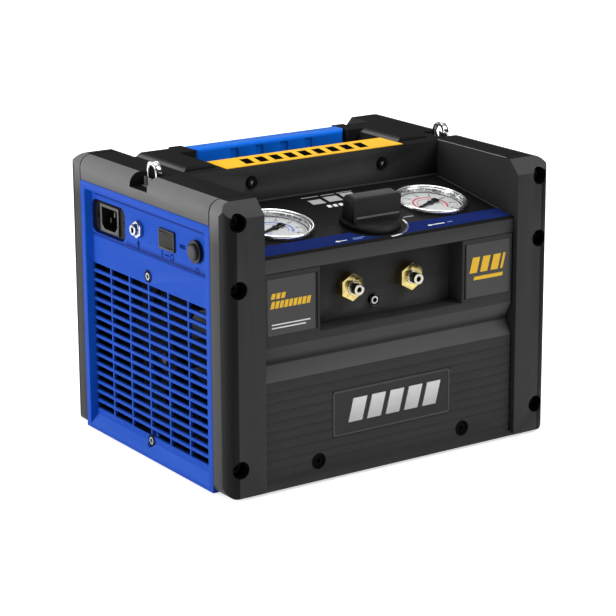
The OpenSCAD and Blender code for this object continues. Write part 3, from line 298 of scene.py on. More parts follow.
# Painted reflection: darker, blotchy brass on the front and top faces of the port hexagons
BRASS_DARK_REFLECTION = metal("brass_dark_reflection", (0.52, 0.41, 0.16), 0.2, scale=150, spread=0.95, depth=0.02)
NICKEL = metal("port_nickel", (0.45, 0.44, 0.38), 0.16, (1, 0.05, 1))
CHROME = metal("plated", (0.78, 0.78, 0.79), 0.1, scale=400, spread=0.03, depth=0.02)
BEZEL = metal("bezel_metal", (0.88, 0.88, 0.88), 0.2, scale=500, spread=0.03, depth=0.02)
ZINC = metal("zinc", (0.42, 0.42, 0.43), 0.35)
FITTING = metal("fitting_nickel", (0.46, 0.47, 0.50), 0.18, (0.1, 1, 1))
STEEL = metal("screw_steel", (0.72, 0.72, 0.73), 0.25)
BLACK_STEEL = moulded("screw_black", (0.004, 0.004, 0.004), 0.5, COARSE_GRAIN, 0.1, specular=0.1)
PAN_STEEL = moulded("pan_steel", (0.03, 0.03, 0.032), 0.55, 700, 0.2)
MOTOR_METAL = moulded("motor_metal", (0.05, 0.05, 0.055), 0.5, COARSE_GRAIN, 0.15)
CAST_ALLOY = metal("cast_alloy", (0.42, 0.42, 0.43), 0.5, scale=300, spread=0.12, depth=0.3)
COIL_ALLOY = metal("coil_alloy", (0.5, 0.5, 0.51), 0.4, (1, 1, 0.1))
COPPER = metal("copper", (0.62, 0.30, 0.16), 0.3)
BOARD_GREEN = moulded("board_green", (0.01, 0.09, 0.035), 0.3, 1200, 0.05)

# Dials, lenses and inks
DIAL_WHITE = ink("dial_white", (0.66, 0.65, 0.65))
NEEDLE_BLACK = ink("needle_black", (0.006, 0.006, 0.006), 0.4)
LENS = clear_lens("lens_clear")
INK_WHITE = ink("ink_white", (0.85, 0.85, 0.85))
INK_GREY = ink("ink_grey", (0.42, 0.42, 0.43))
INK_FAINT = ink("ink_faint", (0.10, 0.10, 0.105))
INK_DIM = ink("ink_dim", (0.19, 0.19, 0.19))
INK_BLACK = ink("ink_black", (0.004, 0.004, 0.004))
INK_RED = ink("ink_red", (0.62, 0.03, 0.05))
INK_SKY = ink("ink_sky", (0.04, 0.16, 0.62))
INK_PALE = ink("ink_pale", (0.22, 0.30, 0.62))
INK_NAVY = ink("ink_navy", (0.012, 0.024, 0.13))
INK_DEEP = ink("ink_deep", (0.006, 0.018, 0.11))
INK_YELLOW = ink("ink_yellow", (0.92, 0.56, 0.06))
# Painted reflection: the silver bars on the badge grow lighter towards the top
SILVER_REFLECTION = faded("badge_silver_reflection", [
    (0.052, (0.50, 0.50, 0.51)), (0.077, (0.80, 0.80, 0.81))], 0.35, 0.3)

NODE_FINISH = {
    "left_frame": FRAME_BLACK, "right_frame": FRAME_BLACK, "front_cover": COVER_BLACK,
    "back_cover": COVER_BLACK, "top_cover": TOP_SHADE_BLACK, "port_panel": WINDOW_LIT,
    "console": CONSOLE_BLACK, "badge_plate": COVER_BLACK, "left_label": LABEL_BLACK,
    "right_label": LABEL_BLACK, "left_panel": PANEL_BLUE, "right_panel": PANEL_BLUE,
    "grip": GRIP_BLUE, "deck_plate": DECK_YELLOW, "left_port": BRASS, "right_port": BRASS,
    "selector_valve": BRASS, "knob": KNOB_BLACK, "left_gauge_case": BEZEL, "right_gauge_case": BEZEL,
    "left_gauge_dial": DIAL_WHITE, "right_gauge_dial": DIAL_WHITE,
    "left_gauge_needle": NEEDLE_BLACK, "right_gauge_needle": NEEDLE_BLACK,
    "left_gauge_lens": LENS, "right_gauge_lens": LENS, "power_inlet": INLET_BLACK,
    "inlet_pins": PIN_METAL, "side_fitting": FITTING, "left_ring": CHROME, "right_ring": CHROME,
    "left_ring_base": ZINC, "right_ring_base": ZINC, "switch_frame": SWITCH_BLACK,
    "switch_rocker": SWITCH_GREY, "button_ring": SWITCH_BLACK, "reset_button": BUTTON_BLACK,
    "frame_screws": BLACK_STEEL, "cover_screws": BLACK_STEEL, "panel_screws": ZINC, "feet": RUBBER,
    "base_pan": PAN_STEEL, "fan": FAN_BLACK, "fan_shroud": FAN_BLACK, "motor_shaft": MOTOR_METAL,
    "motor": MOTOR_METAL, "motor_cradle": MOTOR_METAL, "crankcase": CAST_ALLOY, "barrels": CAST_ALLOY,
    "heads": CAST_ALLOY, "manifold": CAST_ALLOY, "condenser": COIL_ALLOY, "suction_pipe": COPPER,
    "discharge_pipe": COPPER, "control_board": BOARD_GREEN, "capacitor": INLET_BLACK,
}

# Edge rounding of the carried-over nodes, in millimetres
EDGE_MM = {
    "left_frame": 0.9, "right_frame": 0.9, "front_cover": 0.5, "top_cover": 0.8, "console": 0.8,
    "knob": 1.0, "left_panel": 0.5, "right_panel": 0.5, "grip": 2.2, "deck_plate": 0.2,
    "left_port": 0.4, "right_port": 0.4, "left_ring": 0.9, "right_ring": 0.9, "side_fitting": 0.4,
    "reset_button": 0.4, "switch_rocker": 0.4, "switch_frame": 0.4, "power_inlet": 0.5,
    "back_cover": 0.4, "port_panel": 0.4, "badge_plate": 0.2, "left_gauge_case": 0.5,
    "right_gauge_case": 0.5,
}
EDGE_SEGMENTS = 2
WELD_DISTANCE = 0.002 * MM
FLAT_ANGLE, SHARP_ANGLE = math.radians(0.5), math.radians(32)


def weld_seams(obj):
    """Joins the points that neighbouring faces share."""
    weld = obj.modifiers.new("weld", "WELD")
    weld.merge_threshold = WELD_DISTANCE


def soften(obj, width):
    """Rounds the sharp edges of a node with modifiers and leaves its mesh as it is."""
    weld_seams(obj)
    flat = obj.modifiers.new("flat", "DECIMATE")
    flat.decimate_type = "DISSOLVE"
    flat.angle_limit = FLAT_ANGLE
    edge = obj.modifiers.new("edge", "BEVEL")
    edge.width = width * MM
    edge.segments = EDGE_SEGMENTS
    edge.limit_method = "ANGLE"
    edge.angle_limit = SHARP_ANGLE
    edge.harden_normals = True
    edge.use_clamp_overlap = True


def keep_sharp(obj):
    """Smooth shading with crisp edges for the nodes that aren't rounded."""
    weld_seams(obj)
    split = obj.modifiers.new("split", "EDGE_SPLIT")
    split.split_angle = SHARP_ANGLE


for node_name, node_obj in frame["nodes"].items():
    node_obj.data.materials.clear()
    node_obj.data.materials.append(NODE_FINISH[node_name])
    for face in node_obj.data.polygons:
        face.use_smooth = True
    if node_name in EDGE_MM:
        soften(node_obj, EDGE_MM[node_name])
    else:
        keep_sharp(node_obj)


# Second finishes on parts of a node, chosen by where a face lies and how it points; most of them are
# painted light or shade


def refinish(node, material, test):
    """Gives a second material to the faces of a node that pass a test on centre and normal."""
    obj = frame["nodes"][node]
    obj.data.materials.append(material)
    index = len(obj.data.materials) - 1
    turn = obj.matrix_world.to_3x3()
    for polygon in obj.data.polygons:
        centre = (obj.matrix_world @ polygon.center) / MM
        if test(centre, (turn @ polygon.normal).normalized()):
            polygon.material_index = index


def near(u, v, places, reach):
    """Whether a point in a plane lies close to one of several places."""
    return any(math.hypot(u - a, v - b) < reach for a, b in places)


def between(value, limits):
    """Whether a value lies inside two limits."""
    return limits[0] < value < limits[1]


# Parts of a normal: straight along an axis, halfway, slanted, just tilted, and across it
STRAIGHT, HALFWAY, SLANTED, TILTED, ACROSS = 0.9, 0.5, 0.3, 0.12, 0.1

# Distance, in millimetres as all below, within which a face counts as lying on a plane
SKIN = 0.1

# Faces and axes of the nodes
FRAME_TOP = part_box("left_frame")[1][2] / MM
BODY_HALF = -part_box("left_frame")[0][0] / MM
FRONT = -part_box("left_frame")[0][1] / MM
COVER_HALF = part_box("front_cover")[1][0] / MM
LIP_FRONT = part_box("console")[0][1] / MM
RING_Y = JOINTS["left_ring_fold"]["pos_m"][1] / MM
RING_Z = JOINTS["left_ring_fold"]["pos_m"][2] / MM
BADGE_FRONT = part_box("badge_plate")[0][1] / MM
WALL_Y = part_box("top_cover")[0][1] / MM
FITTING_YZ = [(low + high) / 2 / MM for low, high in zip(*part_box("side_fitting"))][1:]

# End frames: outer zone with its chamfers, notch of the strap ring, seams and screw wells
OUTER_ZONE = BODY_HALF - 13
NOTCH_HALF, NOTCH_LOW = 16.6, RING_Z - 6
NOTCH_BACK, NOTCH_FLOOR = BODY_HALF - 6, FRAME_TOP - 5
SEAM_LOW, SEAM_W = FRAME_TOP - 24, 1.4
SEAMS = (28 - FRONT - 0.1, FRONT - 25.3)
WELLS = [(BODY_HALF - 14, z) for z in (31, 204, 267)]
WELL_REACH, WELL_MOUTH = 8.7, FRONT - 0.5

# Side panels: sill, recessed face and its rear wall, wells of the screws, well and screws of the inlet
SILL_TOP, PANEL_FACE, PANEL_REAR = 20, 182, 110
PANEL_WELLS, PANEL_WELL_REACH, PANEL_WELL_X = [(6.5, 17.8), (6.5, 185)], 6.7, (178, 181.5)
INLET_Y, INLET_Z, INLET_FRONT = 83, 226, -180.5
INLET_WELL_X, INLET_WELL_HALF = (-181.5, -176.5), (33.5, 17.5)
EAR_SCREWS, EAR_REACH = [(INLET_Y - 26.5, INLET_Z), (INLET_Y + 26.5, INLET_Z)], 4
BORE_SIDE = -0.5

# Grip: how far its front leans and where its flat top begins
GRIP_LEAN, GRIP_TOP = -0.2, 0.95

# Front: end grooves, V groove with the slopes of its two faces, screws and the ports' hexagons
END_GROOVE_W, END_GROOVE_DEEP = 2.3, 1
VEE_LOW, VEE_LOWER_FACE, VEE_UPPER_FACE = 100, (0.5, 0.6), (-0.5, -0.4)
COVER_SCREWS, COVER_WELL_REACH, COVER_WELL_DEEP = [(86, 21)], 6.6, 0.2
PORT_SCREW, WALL_SCREWS, HEAD_REACH = [(-8, 164)], [(-78, 269), (78, 269)], 6
PORT_HEAD_FRONT, WALL_HEAD_RISE = -125.5, 1
HEX_FRONT = -133.9


def in_notch(c, n, outward):
    """Side walls, back wall and floor of a strap ring's notch."""
    if abs(c.y - RING_Y) >= NOTCH_HALF or c.z <= NOTCH_LOW:
        return False
    side_wall = abs(n.y) > STRAIGHT
    back_wall = c.x * outward < NOTCH_BACK and abs(n.x) > STRAIGHT
    floor = n.z > STRAIGHT and c.z < NOTCH_FLOOR
    return side_wall or back_wall or floor


def in_inlet_well(c):
    """Walls of the recess round the mains inlet."""
    beside = abs(c.y - INLET_Y) < INLET_WELL_HALF[0] and abs(c.z - INLET_Z) < INLET_WELL_HALF[1]
    return beside and between(c.x, INLET_WELL_X)


def in_end_groove(c, n):
    """Floor of the grooves at the two ends of the front cover."""
    at_end = abs(c.x) > COVER_HALF - END_GROOVE_W and c.y > LIP_FRONT + END_GROOVE_DEEP
    return at_end and abs(n.x) < ACROSS and n.y < -SLANTED


for node, outward in (("left_frame", -1), ("right_frame", 1)):
    # Painted shade on the top faces of the end frames
    refinish(node, TOP_SHADE_BLACK, lambda c, n: n.z > STRAIGHT)
    # Painted shade on the inner faces of the end frames
    refinish(node, INNER_SHADE_BLACK, lambda c, n: n.x * outward < -STRAIGHT)
    # Painted highlight on the front chamfers of the end frames
    refinish(node, FRAME_EDGE_HIGHLIGHT, lambda c, n: abs(n.x) < ACROSS and n.y < -HALFWAY and n.z > HALFWAY)
    # Painted light on the outer side faces of the end frames
    refinish(node, FRAME_SIDE_LIT, lambda c, n: n.x * outward > TILTED and abs(n.y) < ACROSS
             and c.x * outward > OUTER_ZONE)
    # Painted shade on the roundings from the outer side to the front and back
    refinish(node, FRAME_SHADE, lambda c, n: n.x * outward > ACROSS and abs(n.y) > TILTED
             and c.x * outward > OUTER_ZONE)
    # Painted shade on the walls and floor of the strap rings' notches
    refinish(node, FRAME_SHADE, lambda c, n: in_notch(c, n, outward))
    refinish(node, JOINT_AND_SHADE_BLACK, lambda c, n: c.z > SEAM_LOW and any(y < c.y < y + SEAM_W for y in SEAMS))
    # Painted shade in the screw wells of the end frames
    refinish(node, JOINT_AND_SHADE_BLACK, lambda c, n: abs(c.y) < WELL_MOUTH and near(abs(c.x), c.z, WELLS, WELL_REACH))

for node in ("left_panel", "right_panel"):
    # Painted light on the up-facing faces of the sill
    refinish(node, PANEL_SILL_LIT, lambda c, n: n.z > SLANTED and c.z < SILL_TOP)
    # Painted light on the rear wall of the panel recess
    refinish(node, PANEL_REAR_LIT, lambda c, n: n.y < -STRAIGHT and c.y > PANEL_REAR and abs(c.x) > PANEL_FACE)
    # Painted shade in the screw wells of the side panels
    refinish(node, PANEL_SHADE, lambda c, n: between(abs(c.x), PANEL_WELL_X)
             and near(c.y, c.z, PANEL_WELLS, PANEL_WELL_REACH))
# Painted shade in the recess round the mains inlet
refinish("left_panel", PANEL_SHADE, lambda c, n: in_inlet_well(c))
refinish("power_inlet", INLET_GREY, lambda c, n: n.x < -STRAIGHT and c.x < INLET_FRONT)
# Painted shade inside the bore of the side fitting
refinish("side_fitting", JOINT_AND_SHADE_BLACK, lambda c, n: (
    (c.y - FITTING_YZ[0]) * n.y + (c.z - FITTING_YZ[1]) * n.z < BORE_SIDE))
refinish("panel_screws", BLACK_STEEL, lambda c, n: c.x < 0 and near(c.y, c.z, EAR_SCREWS, EAR_REACH))
# Painted light on the front faces of the grip
refinish("grip", GRIP_FRONT_LIT, lambda c, n: n.y < GRIP_LEAN and n.z < GRIP_TOP)
# Painted shade on the wall behind the console
refinish("top_cover", WALL_SHADE, lambda c, n: n.y < -STRAIGHT and c.y < WALL_Y + SKIN)
# Painted light on the side slopes of the top cover
refinish("top_cover", SLOPE_LIT, lambda c, n: abs(n.x) > SLANTED and c.z > FRAME_TOP + 2 * SKIN)
refinish("console", LIP_BLACK, lambda c, n: n.y < -STRAIGHT and c.y < LIP_FRONT + SKIN)
# Painted shade on the floor of the end grooves of the front cover
refinish("front_cover", JOINT_AND_SHADE_BLACK, in_end_groove)
# Painted light on the lower face of the V groove
refinish("front_cover", COVER_LIT_FACET, lambda c, n: between(n.z, VEE_LOWER_FACE) and c.z > VEE_LOW)
refinish("front_cover", COVER_SHADE, lambda c, n: between(n.z, VEE_UPPER_FACE) and c.z > VEE_LOW)
# Painted shade in the screw wells of the front cover
refinish("front_cover", JOINT_AND_SHADE_BLACK, lambda c, n: c.y > LIP_FRONT + COVER_WELL_DEEP
         and near(abs(c.x), c.z, COVER_SCREWS, COVER_WELL_REACH))
refinish("badge_plate", BADGE_RIM, lambda c, n: n.y < -STRAIGHT and c.y < BADGE_FRONT + SKIN)
refinish("cover_screws", ZINC, lambda c, n: n.y < -STRAIGHT and c.y < PORT_HEAD_FRONT
         and near(c.x, c.z, PORT_SCREW, HEAD_REACH))
refinish("cover_screws", STEEL, lambda c, n: n.y < -STRAIGHT and c.y > WALL_Y - WALL_HEAD_RISE
         and near(c.x, c.z, WALL_SCREWS, HEAD_REACH))
# Painted shade on the screw heads deep in the front cover's wells
refinish("cover_screws", JOINT_AND_SHADE_BLACK, lambda c, n: near(abs(c.x), c.z, COVER_SCREWS, COVER_WELL_REACH))
for node in ("left_port", "right_port"):
    # Painted reflection on the front and top faces of the hexagons
    refinish(node, BRASS_DARK_REFLECTION, lambda c, n: c.y > HEX_FRONT and (n.y < -STRAIGHT or n.z > STRAIGHT))
    refinish(node, NICKEL, lambda c, n: c.y < HEX_FRONT)

# Printed marks: thin closed plates on the surfaces, drawn in millimetres
PRINT_T = 0.12
NUMBER_CURVE_STEPS = 3
SAME_POINT = 0.001 * MM


def bar(x0, y0, x1, y1, slant=0.0):
    """Rectangle, or a parallelogram whose top is shifted by slant."""
    return [(x0, y0), (x1, y0), (x1 + slant, y1), (x0 + slant, y1)]


def bar_row(count, pitch, x0, y0, x1, y1, slant):
    """Row of equal bars, from the first one's corners."""
    return [bar(x0 + pitch * i, y0, x1 + pitch * i, y1, slant) for i in range(count)]


def arc_band(r0, r1, a0, a1, steps=40):
    """Part of a ring between two radii and two angles in degrees."""
    angles = [math.radians(a0 + (a1 - a0) * i / steps) for i in range(steps + 1)]
    outer = [(r1 * math.cos(a), r1 * math.sin(a)) for a in angles]
    inner = [(r0 * math.cos(a), r0 * math.sin(a)) for a in reversed(angles)]
    return outer + inner


def ray_mark(r0, r1, angle, width):
    """Tick between two radii at an angle in degrees."""
    c, s = math.cos(math.radians(angle)), math.sin(math.radians(angle))
    h = width / 2
    return [(r0 * c + h * s, r0 * s - h * c), (r1 * c + h * s, r1 * s - h * c),
            (r1 * c - h * s, r1 * s + h * c), (r0 * c - h * s, r0 * s + h * c)]


def arrow(x, y, length, width, turn=0):
    """Arrow that points along an angle in degrees."""
    c, s = math.cos(math.radians(turn)), math.sin(math.radians(turn))
    tip, wing = length / 2, width / 2
    stem = wing / 2.5
    points = [(-tip, -stem), (0, -stem), (0, -wing), (tip, 0), (0, wing), (0, stem), (-tip, stem)]
    return [(x + c * u - s * v, y + s * u + c * v) for u, v in points]


def ring_mark(x, y, r, width, steps=24):
    """Closed ring in two halves."""
    halves = [arc_band(r - width, r, 0, 180, steps), arc_band(r - width, r, 180, 360, steps)]
    return [[(x + u, y + v) for u, v in half] for half in halves]


def ring_marks(places, size):
    """Closed rings of one radius and width at several places."""
    return [half for x, y in places for half in ring_mark(x, y, *size)]


def plate_mesh(name, outlines, thick):
    """Closed flat plates, one for each outline, standing on the plane z = 0."""
    mesh = bpy.data.meshes.new(name)
    work = bmesh.new()
    for outline in outlines:
        low = [work.verts.new((x * MM, y * MM, 0)) for x, y in outline]
        high = [work.verts.new((x * MM, y * MM, thick * MM)) for x, y in outline]
        work.faces.new(list(reversed(low)))
        work.faces.new(high)
        for i in range(len(outline)):
            j = (i + 1) % len(outline)
            work.faces.new((low[i], low[j], high[j], high[i]))
    bmesh.ops.recalc_face_normals(work, faces=work.faces)
    work.to_mesh(mesh)
    work.free()
    return mesh


def add_piece(name, mesh, place, material, body=ROOT):
    """Places a mesh in the part's frame, dresses it and makes it ride on a body."""
    mesh.transform(place)
    mesh.materials.append(material)
    piece = bpy.data.objects.new(name, mesh)
    bpy.context.scene.collection.objects.link(piece)
    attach(piece, body)


def printed(name, outlines, place, material, thick=PRINT_T):
    """Flat marks on a surface of the machine."""
    add_piece(name, plate_mesh(name, outlines, thick), place, material)


def numerals(name, marks, size, place, material):
    """Plain numbers, each centred at its own place."""
    work = bmesh.new()
    for text, x, y in marks:
        curve = bpy.data.curves.new(name, "FONT")
        curve.body = text
        curve.size = size * MM
        curve.align_x = "CENTER"
        curve.align_y = "CENTER"
        curve.extrude = PRINT_T * MM / 2
        curve.resolution_u = NUMBER_CURVE_STEPS
        holder = bpy.data.objects.new(name, curve)
        drawn = bpy.data.meshes.new_from_object(holder)
        drawn.transform(Matrix.Translation((x * MM, y * MM, PRINT_T * MM / 2)))
        work.from_mesh(drawn)
        bpy.data.objects.remove(holder)
        bpy.data.curves.remove(curve)
        bpy.data.meshes.remove(drawn)
    bmesh.ops.remove_doubles(work, verts=work.verts, dist=SAME_POINT)
    mesh = bpy.data.meshes.new(name)
    work.to_mesh(mesh)
    work.free()
    add_piece(name, mesh, place, material)


def facing(origin, right, up):
    """Places drawings: x along right, y along up and z out of the surface."""
    right = Vector(right).normalized()
    up = Vector(up).normalized()
    turn = Matrix((right, up, right.cross(up))).transposed().to_4x4()
    return Matrix.Translation(origin) @ turn


def on_console(origin, lift=0.0):
    """Drawings on the console's slope, from a point on it."""
    return facing(origin + CONSOLE_UP * lift * MM, RIGHT, SLOPE_UP)


def on_front(node, lift=0.0):
    """Drawings on the front face of a node, from the frame's origin."""
    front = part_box(node)[0][1]
    return facing((0, front - lift * MM, 0), (1, 0, 0), (0, 0, 1))


def on_top(height):
    """Drawings on a level face at a height in metres."""
    return facing((0, 0, height), (1, 0, 0), (0, 1, 0))


def on_left(node, depth):
    """Drawings on a face that looks to the left: x towards the front and y up."""
    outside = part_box(node)[0][0]
    return facing((outside + depth * MM, 0, 0), (0, -1, 0), (0, 0, 1))


def on_right(node, depth):
    """Drawings on a face that looks to the right: x towards the back and y up."""
    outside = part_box(node)[1][0]
    return facing((outside - depth * MM, 0, 0), (0, 1, 0), (0, 0, 1))


def face_height(node, direction):
    """Farthest reach of a node along a direction."""
    obj = frame["nodes"][node]
    return max((obj.matrix_world @ vertex.co).dot(direction) for vertex in obj.data.vertices)


# Gauge dials: angles of the scale, then ticks by inner radius and width, arcs by their two radii
SCALE_START, SCALE_END = 225, -45
TICKS, LONG_EVERY, TICK_OUT = 40, 5, 29.2
LONG_TICK, SHORT_TICK = (25.4, 0.8), (27.0, 0.4)
DIAL_EDGE_SHADE, OUTER_ARC, INNER_ARC, ARC_STEPS = (30.9, 31.8), (16.4, 17.8), (12.6, 13.2), 60
ARC_TICKS, ARC_TICK_OUT, ARC_TICK_W = 27, 19.4, 0.4
NUMBER_R, NUMBER_SIZE, NUMBER_STEP = 22.6, 4.2, 5

# Gauge needle: half outline of its blade from tip to tail, and thickness
BLADE_HALF = [(0.6, 24), (1.6, 3.4), (3.2, 1.6), (3.2, -1.6), (1.8, -4), (4.2, -8), (3.6, -13)]
BLADE_T = 0.3


def sweep(i, count):
    """Angle of a mark on the scale."""
    return SCALE_START + (SCALE_END - SCALE_START) * i / count


def dress_gauge(side, scale_ink):
    """Ticks, a ring of painted shade at the edge, scale arcs and numbers on a gauge's dial."""
    centre = Vector(JOINTS[side + "_needle_turn"]["pos_m"])
    dial_top = face_height(side + "_gauge_dial", CONSOLE_UP)
    place = on_console(centre + CONSOLE_UP * (dial_top - centre.dot(CONSOLE_UP)))
    ticks = []
    for i in range(TICKS + 1):
        start, width = LONG_TICK if i % LONG_EVERY == 0 else SHORT_TICK
        ticks.append(ray_mark(start, TICK_OUT, sweep(i, TICKS), width))
    printed(side + "_dial_ticks", ticks, place, INK_BLACK)
    # Dark ring at the dial's edge: painted shade under the bezel
    edge = [arc_band(*DIAL_EDGE_SHADE, 0, 180), arc_band(*DIAL_EDGE_SHADE, 180, 360)]
    printed(side + "_dial_edge_shade", edge, place, INK_BLACK)
    scale = [arc_band(*radii, SCALE_END, SCALE_START, ARC_STEPS) for radii in (OUTER_ARC, INNER_ARC)]
    for i in range(ARC_TICKS + 1):
        scale.append(ray_mark(OUTER_ARC[1], ARC_TICK_OUT, sweep(i, ARC_TICKS), ARC_TICK_W))
    printed(side + "_dial_scale", scale, place, scale_ink)
    numbers = TICKS // LONG_EVERY
    marks = []
    for i in range(numbers + 1):
        angle = math.radians(sweep(i, numbers))
        marks.append((str(NUMBER_STEP * i), NUMBER_R * math.cos(angle), NUMBER_R * math.sin(angle)))
    numerals(side + "_dial_numbers", marks, NUMBER_SIZE, place, INK_BLACK)


def dress_needle(side):
    """Broad black blade with a tail, on top of a gauge needle."""
    needle = frame["nodes"][side + "_gauge_needle"]
    centre = Vector(JOINTS[side + "_needle_turn"]["pos_m"])
    top = face_height(side + "_gauge_needle", CONSOLE_UP) - centre.dot(CONSOLE_UP)
    arms = [needle.matrix_world @ vertex.co - centre for vertex in needle.data.vertices]
    ahead = max((arm - CONSOLE_UP * arm.dot(CONSOLE_UP) for arm in arms), key=lambda arm: arm.length)
    outline = BLADE_HALF + [(-x, y) for x, y in reversed(BLADE_HALF)]
    mesh = plate_mesh(side + "_needle_blade", [outline], BLADE_T)
    place = facing(centre + CONSOLE_UP * top, ahead.cross(CONSOLE_UP), ahead)
    add_piece(side + "_needle_blade", mesh, place, NEEDLE_BLACK, side + "_needle")


dress_needle("left")
dress_needle("right")
dress_gauge("left", INK_SKY)
dress_gauge("right", INK_RED)

# Console print, drawn from the knob's axis: blue strip, position arc, squares, lines and arrows
STRIP_LOW, STRIP_HIGH, STRIP_HALF = -34.6, -13.4, 146.6
CLEAR_R, CLEAR_STEPS = 35.4, 20
POSITION_ARC = arc_band(35.5, 37.5, -91, -6)
ARROW_SIZE, LEFTWARD = (7, 4.2), 180
STRIP_ARROWS = [
    arrow(-57, -28.6, *ARROW_SIZE, LEFTWARD), bar(-53, -29.2, -47, -28),
    arrow(53, -26.6, *ARROW_SIZE, LEFTWARD), bar(57, -27.3, 70, -25.7)]
STRIP_LINES = [bar(-40, -28, -26, -26.8), bar(-40, -30.4, -30, -29.4), bar(74, -26.6, 80, -25.2)]
CONSOLE_MARKS = [
    bar(-24, 62, -9, 73), bar(-4, 63, 12, 76), bar(17, 66, 32, 79), bar(-26, 80.4, -6, 81.6),
    bar(-3, 80.4, 13, 81.6), bar(16, 81, 34, 82.2), bar(40, 0, 52, 1.6, 0.6)]
CONSOLE_DOTS = bar_row(3, 7, -14, 50, -9.5, 56, 1)
# Light line along the console's right edge: a painted edge highlight
CONSOLE_EDGE_HIGHLIGHT = bar(145.8, -33, 147, 86)


def strip_side(side):
    """Blue strip on one side of the knob, which ends on a circle round the knob."""
    a0 = math.asin(STRIP_LOW / CLEAR_R)
    a1 = math.asin(STRIP_HIGH / CLEAR_R)
    angles = [a0 + (a1 - a0) * i / CLEAR_STEPS for i in range(CLEAR_STEPS + 1)]
    curve = [(side * CLEAR_R * math.cos(a), CLEAR_R * math.sin(a)) for a in angles]
    return [(side * STRIP_HALF, STRIP_LOW)] + curve + [(side * STRIP_HALF, STRIP_HIGH)]


KNOB_PRINT = on_console(KNOB_AT)
STRIP_PRINT = on_console(KNOB_AT, PRINT_T)
printed("console_strip", [strip_side(-1), strip_side(1)], KNOB_PRINT, INK_NAVY)
printed("console_arc", [POSITION_ARC], KNOB_PRINT, INK_WHITE)
printed("strip_arrows", STRIP_ARROWS, STRIP_PRINT, INK_WHITE)
printed("strip_lines", STRIP_LINES, STRIP_PRINT, INK_PALE)
printed("console_marks", CONSOLE_MARKS, KNOB_PRINT, INK_GREY)
printed("console_dots", CONSOLE_DOTS, KNOB_PRINT, INK_WHITE)
printed("console_edge_highlight", [CONSOLE_EDGE_HIGHLIGHT], KNOB_PRINT, INK_FAINT)

# Bars and lines on the labels beside the window
LABELS = on_front("left_label")
LEFT_LABEL_BARS = (bar_row(3, 5.6, -139, 188.6, -134.8, 194, 1.5)
                   + bar_row(9, 5, -139.5, 179.5, -135.7, 186.4, 1.8))
LEFT_LABEL_LINES = [bar(-138, 163.2, -95, 164.4), bar(-138, 160, -100, 161.2)]
RIGHT_LABEL_BARS = bar_row(3, 13, 93, 178.5, 102, 194, 4) + [
    bar(131, 178.5, 134, 194, 4), bar(98, 171, 134, 174.6, 1)]
printed("left_label_bars", LEFT_LABEL_BARS, LABELS, INK_YELLOW)
printed("left_label_lines", LEFT_LABEL_LINES, LABELS, INK_WHITE)
printed("right_label_bars", RIGHT_LABEL_BARS, LABELS, INK_YELLOW)

# Seal strip where the console meets the wall behind it; its light grey is a painted highlight along the
# console's upper edge
CONSOLE_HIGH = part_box("console")[1][2] / MM
SEAL_HALF, SEAL_BELOW, SEAL_ABOVE, SEAL_T = COVER_HALF - 0.5, 1.6, 1.2, 1.0
SEAL = bar(-SEAL_HALF, CONSOLE_HIGH - SEAL_BELOW, SEAL_HALF, CONSOLE_HIGH + SEAL_ABOVE)
printed("console_seal", [SEAL], on_front("top_cover"), BADGE_RIM, SEAL_T)

# Dark lines between the labels and the window
WINDOW_LINES = [bar(-88, 153, -86.8, 208), bar(86.8, 153, 88, 208)]
printed("window_lines", WINDOW_LINES, on_front("console"), INK_BLACK)

# Dark rings of painted shade on the heads of the port and panel screws and round the front cover's screw
# wells
PORT_HEAD_RISE, PANEL_HEAD_DEPTH = 4, 7
PORT_SHADE_RIM, PANEL_SHADE_RIM, COVER_SHADE_RIM = (5.4, 1.5), (5.4, 1.6), (8, 1.8)
COVER_WELLS = [(side * x, z) for x, z in COVER_SCREWS for side in (-1, 1)]
printed("port_screw_shade", ring_marks(PORT_SCREW, PORT_SHADE_RIM), on_front("port_panel", PORT_HEAD_RISE),
        INK_BLACK)
printed("cover_well_shades", ring_marks(COVER_WELLS, COVER_SHADE_RIM), on_front("console"), JOINT_AND_SHADE_BLACK)
printed("left_screw_shades", ring_marks([(-y, z) for y, z in PANEL_WELLS], PANEL_SHADE_RIM),
        on_left("left_panel", PANEL_HEAD_DEPTH), INK_BLACK)
printed("right_screw_shades", ring_marks(PANEL_WELLS, PANEL_SHADE_RIM),
        on_right("right_panel", PANEL_HEAD_DEPTH), INK_BLACK)

# Painted highlight along the lower edge of the knob's bar
KNOB_BAR_FRONT, KNOB_HIGHLIGHT_T = 9.9, 0.4
KNOB_HIGHLIGHT = plate_mesh("knob_highlight", [bar(-24, 10.9, 26, 12.7)], KNOB_HIGHLIGHT_T)
KNOB_FRONT = facing(KNOB_AT - SLOPE_UP * KNOB_BAR_FRONT * MM, RIGHT, CONSOLE_UP)
add_piece("knob_highlight", KNOB_HIGHLIGHT, KNOB_FRONT, INK_DIM, "knob")

# Painted highlight along the inner top edge of the right end frame
INNER_EDGE_HIGHLIGHT = bar(COVER_HALF + 1, -128, COVER_HALF + 1.8, -17)
printed("frame_edge_highlight", [INNER_EDGE_HIGHLIGHT], on_top(FRAME_TOP * MM), INK_GREY)

# Slanted bars on the badge plate, whose field lies behind its rim
BADGE_RIM_RISE, BADGE_BAR_T = 0.4, 0.9
BADGE_BARS = bar_row(5, 22, -52, 53.5, -36, 76.5, 6)
printed("badge_bars", BADGE_BARS, on_front("badge_plate", -BADGE_RIM_RISE), SILVER_REFLECTION, BADGE_BAR_T)

# Slanted bars on the yellow plate
DECK_BARS = bar_row(9, 17, -78, -8.5, -68, 13, 5)
printed("deck_bars", DECK_BARS, on_top(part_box("deck_plate")[1][2]), INK_BLACK)

